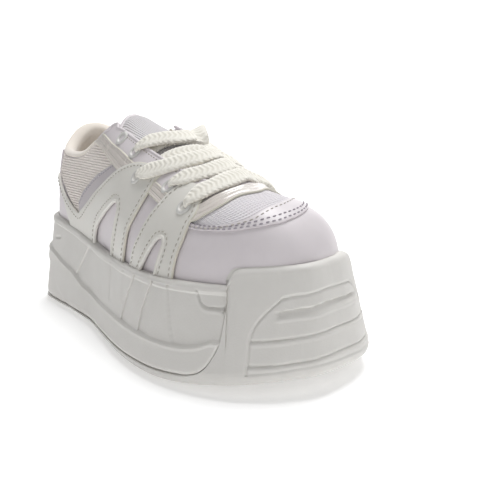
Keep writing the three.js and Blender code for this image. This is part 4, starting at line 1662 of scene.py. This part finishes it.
@dataclass(frozen=True)
class Tongue:
    """The padded tongue: mesh, with a bound edge."""

    depth: Profile = Profile(((93.5, 9), (96, 8.2), (99, 7), (106, 5.4), (118, 4), (140, 3.7),
                              (222, 3.7)))
    thick: Profile = Profile(((93.5, 5), (99, 7), (106, 7.5), (118, 6.5), (140, 5), (175, 4),
                              (222, 3)))
    reach: Profile = Profile(((93.5, 0.37), (106, 0.39), (118, 0.42), (140, 0.45), (175, 0.45),
                              (205, 0.42), (222, 0.36)))
    top: float = 93.5
    front: float = 222.0

    def place(self, u: Array, v: Array) -> Array:
        """Places the tongue's grid: u from the top edge to the toe, v round its section."""
        x = self.top + (self.front - self.top) * u**1.4
        nose = np.sqrt(np.maximum(1 - (1 - np.clip((x - self.top) / 5, 0, 1)) ** 2, 0))
        tail = np.clip((self.front - x) / 3, 0, 1)
        turn = 2 * math.pi * v
        cos, sin = np.cos(turn), np.sin(turn)
        across = np.sign(cos) * np.abs(cos) ** 0.55 * self.reach(x) * (0.7 + 0.3 * nose)
        thick = self.thick(x) * nose * tail * (1 - 0.35 * np.abs(cos) ** 6)
        lift = -self.depth(x) - self.thick(x) / 2 + thick / 2 * np.sign(sin) * np.abs(sin) ** 0.6
        return LAST.off(np.maximum(x, self.top), across, lift)

    def build(self, wardrobe: Wardrobe) -> None:
        obj = wrapped_grid("tongue_pad", 150, 72, self.place)
        closed(obj)
        smooth(obj, 80)
        planar_uv(obj, 1)
        ride(obj, "tongue_mesh", wardrobe["tongue_mesh"], "tongue")
        down = [(x, float(self.reach(x)) * 0.97) for x in np.linspace(150, 100, 12)]
        rows = down + [(96.5, 0.33), (94.8, 0.27), (94.2, 0.18), (94, 0.0)]
        points = flat(across_toe(rows), 1.2)
        lift = -self.depth(points[:, 0]) - 2.2
        line = LAST.off(points[:, 0], points[:, 1], lift)
        up = LAST.normal(points[:, 0], points[:, 1])

        def section(u: Array, turn: Array) -> tuple:
            """Flat oval section of the binding."""
            size = round_ends(u, 160.0, 2.0)
            return 2.3 * size * np.cos(turn), 2.9 * size * np.sin(turn)

        binding = lofted_tube("tongue_binding", line, up, section, 150, 14)
        smooth(binding, 80)
        ride(binding, "upper_leather", wardrobe["pearl_leather"])


@dataclass(frozen=True)
class Insole:
    """The soft sock that lies on the foot bed."""

    thickness: float = 5.5

    def build(self, wardrobe: Wardrobe) -> None:
        def place(u: Array, v: Array) -> Array:
            """Places the sock's grid: below, round its edge and above."""
            share = u
            x = SOLE.station(share)
            side = np.where(share < 0.5, -1, 1)
            along = x / SOLE.length
            draw = 3.2 + 1.2 * smoothstep(0.5, 0.56, v)
            half = np.maximum(LAST.half(along, side) - draw, 0)
            across = np.interp(v, [0, 0.44, 0.56, 1], [0, 1, 1, 0])
            rise = np.interp(v, [0, 0.44, 0.56, 1], [0, 0, 1, 1]) * self.thickness
            cup = 1.6 * smoothstep(0.75, 1, across) * (v > 0.5)
            px = LAST.heel + draw + along * (LAST.toe - LAST.heel - 2 * draw)
            return np.stack([px, side * half * across, SOLE.bed(px) + 0.4 + rise + cup], -1)

        obj = wrapped_grid("insole_sock", 240, 50, place)
        closed(obj)
        smooth(obj, 60)
        ride(obj, "lining", wardrobe["lining"], "insole")


@dataclass(frozen=True)
class Panels:
    """Mesh panels and thin leather pieces under the overlays."""

    strip_upper: Rows = (
        (96.9, 0.435), (122.7, 0.419), (144, 0.427), (180.9, 0.435), (194.9, 0.451),
        (209, 0.43), (217.6, 0.399), (220.8, 0.279), (222.2, 0.106), (221.5, 0.0))
    strip_lower: Rows = (
        (89.3, 0.515), (107.3, 0.511), (130.1, 0.532), (174.8, 0.508), (191.2, 0.527),
        (210, 0.54), (221.3, 0.523), (225.3, 0.455), (229.5, 0.339), (230.4, 0.142),
        (231.2, 0.0))
    inner_seam: Rows = (
        (220, 0.555), (233, 0.54), (240, 0.5), (246.3, 0.415), (248.9, 0.335), (249.6, 0.226),
        (249.2, 0.12), (247.6, 0.0))
    toe_seam: Rows = (
        (219, 0.578), (224, 0.571), (233.6, 0.559), (244.3, 0.523), (251.6, 0.423),
        (256.2, 0.242), (256.7, 0.0))
    toe_seam_medial: Rows = (
        (251.6, 0.198), (240.5, 0.35), (232, 0.45), (224, 0.52), (219, 0.55))
    inner_seam_medial: Rows = (
        (243.6, 0.12), (238, 0.22), (230, 0.35), (222, 0.46), (216, 0.52))
    quarter_low: Rows = (
        (30.5, 0.70), (48, 0.79), (62, 0.86), (74.4, 0.886), (84, 0.85), (98, 0.77),
        (112, 0.68), (124, 0.6), (133, 0.53))

    def quarter_mesh(self, side: Side, wardrobe: Wardrobe) -> None:
        """The ribbed mesh of the quarter, from the collar to the heel arm."""
        x = np.linspace(31, 90, 24)
        collar = LAST.collar_share(x, 1.0)
        top = np.column_stack([x, collar])
        top = np.vstack([top, [(97.5, 0.475), (110, 0.49), (122, 0.5), (133, 0.51)]])
        top[:, 1] *= side.value
        low = flat(mirrored(self.quarter_low, side), 1.5)
        obj = lasted_patch(f"quarter_mesh_{side.word}", low, top, 130, 60, 0.45, 0.9)
        planar_uv(obj, 2)
        ride(obj, "side_mesh", wardrobe["side_mesh"])

    def band(self, side: Side, wardrobe: Wardrobe) -> None:
        """The darker band along the front arm of the V."""
        upper = ((73.0, 0.84), (78, 0.80), (89.0, 0.745), (104.5, 0.652), (119.5, 0.552),
                 (126, 0.505))
        lower = ((74.4, 0.91), (90.4, 0.848), (106.2, 0.755), (121.5, 0.651), (134, 0.55))
        obj = lasted_patch(f"quarter_band_{side.word}", flat(mirrored(upper, side)),
                           flat(mirrored(lower, side)), 60, 6, 0.95, 0.7)
        ride(obj, "upper_leather", wardrobe["pearl_dark"])
        path = inside_edge(flat(mirrored(upper, side)), 1.5 * side.value)
        row = seam(f"quarter_band_stitches_{side.word}", [path], 1.05)
        ride(row, "thread", wardrobe["thread_dark"])

    def stay(self, side: Side, wardrobe: Wardrobe) -> None:
        """The eyelet stay with its rolled edge.

        Args:
            side: Side of the last.
            wardrobe: The finishes.
        """
        x = np.concatenate([np.linspace(108, 206, 40), [209, 211.5, 213.2]])
        inner = np.column_stack([x, LAST.throat_share(x, 0.2)])
        corner = [(101.5, 0.365), (102.6, 0.325), (104.4, 0.295), (106.4, 0.276)]
        inner = np.vstack([corner, inner])
        outer = np.array([(96.3, 0.452), (120, 0.445), (160, 0.45), (200, 0.47), (214.6, 0.44)])
        rolled = np.vstack([[(92.5, 0.487), (95.4, 0.45), (98.6, 0.405)], inner])
        if side is Side.MEDIAL:
            rolled = inner = inner[6:]
            outer[0] = (112, 0.447)
        obj = lasted_patch(f"eyelet_stay_{side.word}", placed(inner, side),
                           flat(placed(outer, side), 2.0), 120, 14, 0.95, 0.9)
        ride(obj, "overlay_leather", wardrobe["pearl_leather"])
        piping = bead(f"stay_piping_{side.word}", flat(placed(rolled, side), 1.2), 0.5, 1.05)
        ride(piping, "overlay_leather", wardrobe["pearl_leather"])
        row = inside_edge(flat(placed(inner[6:], side), 1.0), 2.6 * side.value)
        stitches = seam(f"stay_stitches_{side.word}", [row], 1.0)
        ride(stitches, "thread", wardrobe["thread"])

    def vamp(self, wardrobe: Wardrobe) -> None:
        """Vamp mesh, the leather ring before it and the seams round the toe cap."""
        upper = flat(across_toe(self.strip_lower[5:]))
        inner = flat(across_toe(self.inner_seam, self.inner_seam_medial))
        mesh = lasted_patch("vamp_mesh", upper, inner, 150, 24, 0.45, 0.9)
        scaled_uv(mesh, 9.0, 2.0)
        ride(mesh, "side_mesh", wardrobe["vamp_mesh"])
        outer = flat(across_toe(self.toe_seam, self.toe_seam_medial))
        rim = inside_edge(outer, -1.4)
        ring = lasted_patch("vamp_ring", inside_edge(inner, 0.4), rim, 170, 8, 0.85, 0.8)
        ride(ring, "upper_leather", wardrobe["pearl_leather"])
        rows = [outer, inside_edge(outer, 2.2)]
        toe = seam("toe_stitches", rows, 0.95, radius=0.4)
        ride(toe, "thread", wardrobe["thread_dark"])
        fine = seam("vamp_stitches", [inside_edge(inner, -1.6)], 0.95, radius=0.28)
        ride(fine, "thread", wardrobe["thread"])

    def strip(self, wardrobe: Wardrobe) -> None:
        """The glossy film ribbon along both sides and round the front of the throat."""
        def ribbed(u: Array, v: Array) -> Array:
            """Raised edges and two sunk lines along the ribbon."""
            border = smoothstep(0.10, 0.05, v) + smoothstep(0.90, 0.95, v)
            lines = np.exp(-(((v - 0.3) / 0.04) ** 2)) + np.exp(-(((v - 0.7) / 0.04) ** 2))
            return 1.35 + 0.35 * border - 0.3 * lines

        upper, lower = (flat(across_toe(rows)) for rows in (self.strip_upper, self.strip_lower))
        obj = lasted_patch("film_strip", upper, lower, 420, 24, ribbed, 0.9, 0.2)
        ride(obj, "strip", wardrobe["film"])
        pipings = []
        for k, edge in enumerate((upper, lower)):
            pipings.append(bead(f"strip_edge_{k}", edge, 1.1, 0.62))
        ride(joined("strip_edges", pipings), "strip", wardrobe["piping"])

    def build(self, wardrobe: Wardrobe) -> None:
        """Builds every panel."""
        for side in Side:
            self.quarter_mesh(side, wardrobe)
            self.band(side, wardrobe)
            self.stay(side, wardrobe)
        self.vamp(wardrobe)
        self.strip(wardrobe)


@dataclass(frozen=True)
class Overlays:
    """The glossy leather overlays: the heel arm with its arch, and the front arch."""

    lift: float = 1.9
    thickness: float = 1.3
    heel_low: Path = ((35.0, 0.745), (44.5, 0.816), (54.4, 0.896), (61.9, 0.972), (64, 1.0))
    heel_top: Path = ((36.0, 0.73), (48.1, 0.812), (62.9, 0.868), (74.4, 0.892))
    front_arm: Path = ((74.4, 0.892), (90.4, 0.828), (106.2, 0.735), (121.5, 0.631),
                       (133, 0.539), (142.9, 0.459), (152.1, 0.399), (160.7, 0.363), (168, 0.318))
    crown: Path = ((168, 0.318), (172.5, 0.315), (176, 0.34))
    rear_leg: Path = ((176, 0.34), (175.4, 0.439), (175.4, 0.507), (173.7, 0.583),
                      (170.3, 0.671), (164.7, 0.776), (162.4, 0.864), (159, 0.976), (158, 1.0))
    rear_arch: Path = ((139, 1.0), (139.6, 0.96), (143.2, 0.864), (146.2, 0.772),
                       (147.2, 0.725), (145.2, 0.688), (141.0, 0.695), (131.9, 0.75),
                       (118.7, 0.832), (107.3, 0.904), (103.2, 0.952), (101.5, 1.0))
    front_left: Path = ((168, 1.0), (168.7, 0.98), (172.6, 0.936), (175.9, 0.848),
                        (180.4, 0.768), (184.7, 0.675), (188, 0.591), (191.2, 0.511),
                        (193.3, 0.419), (196.4, 0.331))
    front_top: Path = ((196.4, 0.331), (200, 0.29), (208, 0.27), (214, 0.31), (217.2, 0.391))
    front_right: Path = ((217.2, 0.391), (219.5, 0.471), (219.5, 0.559), (219.9, 0.679),
                         (218.6, 0.792), (217.6, 0.888), (216.5, 1.0))
    front_arch: Path = ((202.4, 1.0), (203.2, 0.944), (205.6, 0.858), (207.2, 0.775),
                        (207.2, 0.728), (205.4, 0.706), (202.4, 0.712), (196.2, 0.79),
                        (191.2, 0.872), (185.2, 0.964), (183.6, 1.0))

    def heel_piece(self, side: Side, wardrobe: Wardrobe) -> None:
        """The piece from the heel over the rear arch to the third eyelet."""
        edges = (tuple(reversed(self.heel_low)), ((35.0, 0.745), (35.1, 0.734), (36.0, 0.73)),
                 self.heel_top, self.front_arm, self.crown, self.rear_leg,
                 ((158, 1.0), (139, 1.0)), self.rear_arch, ((101.5, 1.0), (64, 1.0)))
        obj = pattern_sheet(f"overlay_rear_{side.word}", edges, side, self.lift, self.thickness)
        self.dress(obj, wardrobe)
        self.edge_line(side, wardrobe, "rear", self.front_arm[5:] + self.crown[1:]
                       + self.rear_leg[1:])
        self.arch_rim(side, wardrobe, "rear", self.rear_arch)
        self.stitch(side, wardrobe, "rear", (self.heel_top + self.front_arm[1:], self.rear_leg),
                    self.rear_arch)

    def front_piece(self, side: Side, wardrobe: Wardrobe) -> None:
        """The front arch, from the sole up to the fifth eyelet."""
        edges = (self.front_left, self.front_top, self.front_right, ((216.5, 1.0), (202.4, 1.0)),
                 self.front_arch, ((183.6, 1.0), (168, 1.0)))
        obj = pattern_sheet(f"overlay_front_{side.word}", edges, side, self.lift, self.thickness)
        self.dress(obj, wardrobe)
        self.edge_line(side, wardrobe, "front", self.front_top[1:] + self.front_right[1:])
        self.arch_rim(side, wardrobe, "front", self.front_arch)
        self.stitch(side, wardrobe, "front", (self.front_left, self.front_right),
                    self.front_arch)

    def dress(self, obj: Piece, wardrobe: Wardrobe) -> None:
        """Gives an overlay its face and its raw edge."""
        ride(obj, "overlay_leather", wardrobe["gloss_leather"])
        obj.data.materials.append(wardrobe["piping"])

    def edge_line(self, side: Side, wardrobe: Wardrobe, word: str, rows: Path) -> None:
        """The pale cut edge that shows along the front of an overlay."""
        path = flat(mirrored(rows, side), 1.2)
        obj = bead(f"overlay_{word}_edge_{side.word}", path, 1.1, 0.75)
        ride(obj, "overlay_leather", wardrobe["piping"])

    def arch_rim(self, side: Side, wardrobe: Wardrobe, word: str, rows: Path) -> None:
        """The rolled rim round an arch."""
        path = flat(mirrored(rows, side), 1.2)
        obj = bead(f"arch_{word}_rim_{side.word}", path, 1.6, 1.15)
        ride(obj, "overlay_leather", wardrobe["gloss_leather"])

    def stitch(self, side: Side, wardrobe: Wardrobe, word: str, outer: tuple[Path, ...],
               arch: Path) -> None:
        """Stitches inside the outline and round the arch."""
        paths = [inside_edge(flat(edge), 1.9) for edge in outer]
        paths.append(inside_edge(flat(arch), 2.9))
        row = seam(f"overlay_{word}_stitches_{side.word}",
                   [placed(path, side) for path in paths], self.lift + 0.1)
        ride(row, "thread", wardrobe["thread"])

    def build(self, wardrobe: Wardrobe) -> None:
        """Builds the overlays of both sides."""
        for side in Side:
            self.heel_piece(side, wardrobe)
            self.front_piece(side, wardrobe)


# ------------------------------------------------------------------ eyelets and laces


@dataclass(frozen=True)
class Eyelets:
    """Painted metal rings, one modelled and the rest copied."""

    places: tuple[tuple[float, float, float], ...] = (
        (119.8, 0.335, 0.95), (141.7, 0.355, 0.95), (158.4, 0.475, 1.9), (188.5, 0.403, 0.95),
        (210.5, 0.463, 1.9))
    hole: float = 2.3
    flange: float = 4.6
    depth: float = 5.0

    def ring(self) -> Piece:
        """The ring at the origin, its axis along z."""
        section = through([
            (self.hole, -self.depth), (self.hole, -1.5), (self.hole + 0.1, 0.3), (2.9, 0.85),
            (3.6, 0.9), (4.2, 0.6), (self.flange, 0.15), (4.2, -0.2), (3.2, -0.25),
            (self.hole + 0.5, -1.0), (self.hole + 0.45, -self.depth), (self.hole, -self.depth)],
            0.3)
        turn = np.linspace(0, 1, len(section))

        def place(u: Array, v: Array) -> Array:
            """Turns the section round the axis."""
            radius, z = (np.interp(v, turn, column) for column in section.T)
            angle = 2 * math.pi * u
            return np.stack([radius * np.cos(angle), radius * np.sin(angle), z], -1)

        obj = wrapped_grid("eyelet", 40, 40, place)
        return closed(obj)

    def build(self, wardrobe: Wardrobe) -> None:
        ring = self.ring()
        shape = points_of(ring) / MM - np.array([HEEL_X, 0, 0])
        for side in Side:
            for k, (x, share, lift) in enumerate(self.places):
                x, share = placed(np.array([[x, share]]), side)[0]
                obj = ring if (side, k) == (Side.MEDIAL, 4) else ring.copy()
                if obj is not ring:
                    obj.data = ring.data.copy()
                    bpy.context.collection.objects.link(obj)
                obj.name = f"eyelet_ring_{side.word}_{k + 1}"
                up = LAST.normal(np.array([x]), np.array([share]))[0]
                ahead = np.cross((0.0, 1.0, 0.0), up)
                ahead /= np.linalg.norm(ahead)
                turned = shape @ np.stack([ahead, np.cross(up, ahead), up])
                centre = LAST.off(np.array([x]), np.array([share]), np.array([lift]))
                put_points(obj, centre + turned)
                edit(obj, face_out)
                smooth(obj, 60)
                ride(obj, "eyelet", wardrobe["enamel"], f"eyelet_{side.word}_{k + 1}")
                self.fill(f"eyelet_dark_{side.word}_{k + 1}", centre, up, wardrobe)

    def fill(self, name: str, centre: Array, up: Array, wardrobe: Wardrobe) -> None:
        """Painted shade in a ring's hole: a small dark plug below the flange."""
        deselect()
        bpy.ops.mesh.primitive_cylinder_add(vertices=24, radius=self.hole * MM, depth=0.6 * MM)
        obj = bpy.context.object
        obj.name = name
        turn = Vector(up).to_track_quat("Z", "Y").to_matrix()
        spots = points_of(obj) / MM
        put_points(obj, spots @ np.array(turn).T + centre - 0.7 * np.asarray(up))
        edit(obj, face_out)
        ride(obj, "eyelet", wardrobe["shade"])


@dataclass(frozen=True)
class Laces:
    """Flat knitted lace: a run from each eyelet over the tongue and under the other stay."""

    width: float = 10.0
    thickness: float = 2.7
    places: tuple[tuple[float, float, float], ...] = Eyelets.places
    lateral_runs: tuple[tuple[tuple[float, float, float], ...], ...] = (
        ((142.4, -0.342, -1.5), (142.7, -0.334, 1.5), (146, -0.27, 3.0), (151.5, -0.15, 2.6),
         (155.5, -0.04, 2.4), (154, 0.06, 2.2), (149, 0.15, 1.6), (145, 0.23, 0),
         (142, 0.31, -2)),
        ((159.4, -0.462, -0.6), (160.2, -0.454, 2.6), (167, -0.415, 3.7), (176, -0.32, 3.0),
         (182.5, -0.2, 2.6), (185, -0.1, 2.4), (183.5, 0, 2.3), (179, 0.1, 2), (174, 0.2, 0.5),
         (170, 0.3, -2)),
        ((189.2, -0.39, -1.5), (189.8, -0.38, 1.5), (194.5, -0.31, 3.0), (199, -0.2, 2.6),
         (200.5, -0.1, 2.4), (198.5, 0, 2.3), (195, 0.1, 2), (191, 0.2, 0.5), (188, 0.3, -2)),
        ((211.2, -0.449, -0.6), (211.5, -0.44, 2.6), (213, -0.36, 3.6), (214.8, -0.22, 3.0),
         (214.3, -0.1, 2.6), (212, 0, 2.4), (209, 0.1, 2), (206, 0.2, 1.0), (203, 0.32, -1.5)))
    loop: tuple[tuple[float, float, float], ...] = (
        (131, 0.33, -1.5), (133, 0.29, 1.5), (137, 0.25, 3.6), (143, 0.2, 5.0),
        (149, 0.16, 4.6), (154, 0.15, 3.0), (158, 0.17, 0.5))

    def run(self, name: str, row: Array, phase: float,
            turned: tuple[float, float, float] = (0.35, 0.0, 0.0)) -> Piece:
        """One run of lace.

        Args:
            name: Name of the piece.
            row: Rows of (station, share, lift) that the middle of the lace passes.
            phase: Where the knit's stitches start.
            turned: How its face turns from the last's normal, at its middle.

        Returns:
            The run.
        """
        scaled = row * np.array([1.0, SHARE_MM, 1.0])
        path = through([tuple(p) for p in scaled], 0.5) / np.array([1.0, SHARE_MM, 1.0])
        line = LAST.off(path[:, 0], path[:, 1], path[:, 2])
        for _ in range(6):
            line[1:-1] = (line[:-2] + 2 * line[1:-1] + line[2:]) / 4
        up = LAST.normal(path[:, 0], path[:, 1])
        up += np.sin(np.pi * np.linspace(0, 1, len(up)))[:, None] * np.array(turned)
        length = float(np.linalg.norm(np.diff(line, axis=0), axis=1).sum())

        def section(u: Array, turn: Array) -> tuple:
            """Flat section, gathered at the eyelet, with the knit's raised stitches."""
            at = u * length
            spread = smoothstep(2.0, 14.0, at)
            half_width = (1.8 + (self.width / 2 - 1.8) * spread) * (1 + 0.03 * np.sin(at / 4.0))
            half_high = 1.55 + (self.thickness / 2 - 1.55) * spread
            cos, sin = np.cos(turn), np.sin(turn)
            across = np.sign(cos) * np.abs(cos) ** 0.8
            high = np.sign(sin) * np.abs(sin) ** 0.75
            column = across * 2.5
            slant = np.abs((column % 1) - 0.5) * 2
            stitch = 0.5 + 0.5 * np.sin(2 * math.pi * (at / 1.9 + 0.5 * slant + phase))
            ridge = 0.5 - 0.5 * np.cos(2 * math.pi * column)
            bump = 0.26 * stitch * (0.35 + 0.65 * ridge) * np.sign(high) * np.abs(high) ** 0.5
            edge = 0.22 * stitch * np.abs(across) ** 6 * np.sign(across)
            wave = 0.12 * np.sin(at / 3.1 + 5 * phase) * across
            size = round_ends(u, length, 1.2)
            return ((half_width * across + edge) * size,
                    (half_high * high + bump + wave * spread) * size)

        obj = lofted_tube(name, line, up, section, int(length / 0.36), 44)
        smooth(obj, 80)
        return obj

    def medial_run(self, pair: int) -> Piece:
        """The run beneath, from a medial eyelet to the lateral stay beside the next pair up."""
        x, share, lift = self.places[pair]
        x, share = placed(np.array([[x, share]]), Side.MEDIAL)[0]
        end_x = self.places[pair - 1][0] + 5
        stop = -float(LAST.throat_share(np.array([end_x]), 3.0)[0])
        rows = [(x + 0.4, share, lift - 2.6), (x + 0.2, share * 0.99, lift + 0.4),
                (x - 1, share * 0.92, lift + 1.3)]
        for t, height in ((0.25, 1.6), (0.4, 0.4), (0.56, -0.5), (0.72, -1.0), (0.86, -1.6),
                          (0.98, -2.4)):
            rows.append((x + (end_x - x) * t, share + (stop - share) * t, height))
        return self.run(f"lace_medial_{pair}", np.array(rows), 0.37 * pair)

    def build(self, wardrobe: Wardrobe) -> None:
        for pair, rows in enumerate(self.lateral_runs, 1):
            obj = self.run(f"lace_lateral_{pair}", np.array(rows), 0.21 * pair)
            ride(obj, "lace", wardrobe["lace"], f"lace_crossing_{pair}")
            if pair > 1:
                ride(self.medial_run(pair), "lace", wardrobe["lace"])
        loop = self.run("lace_loop", np.array(self.loop), 0.5, (1.0, -1.6, 0.4))
        ride(loop, "lace", wardrobe["lace"])
        x = 204.5
        end = float(LAST.throat_share(np.array([x]), -3.0)[0])
        rows = [(x, end * k, -2.2) for k in (-1, -0.5, 0, 0.5, 1)]
        bar = self.run("lace_front_bar", np.array(rows), 0.1)
        ride(bar, "lace", wardrobe["lace"], "lace_toe_bar")


def main() -> None:
    """Builds the studio and every sub-assembly of the shoe, in order."""
    logging.basicConfig(level=logging.INFO, format="%(name)s: %(message)s")
    Studio().build()
    wardrobe = Wardrobe()
    for assembly in (Midsole(), Outsole(), Shell(), HeelTab(), CollarPad(), Tongue(), Insole(), Panels(),
                     Overlays(), Eyelets(), Laces()):
        assembly.build(wardrobe)


if __name__ == "__main__":
    main()
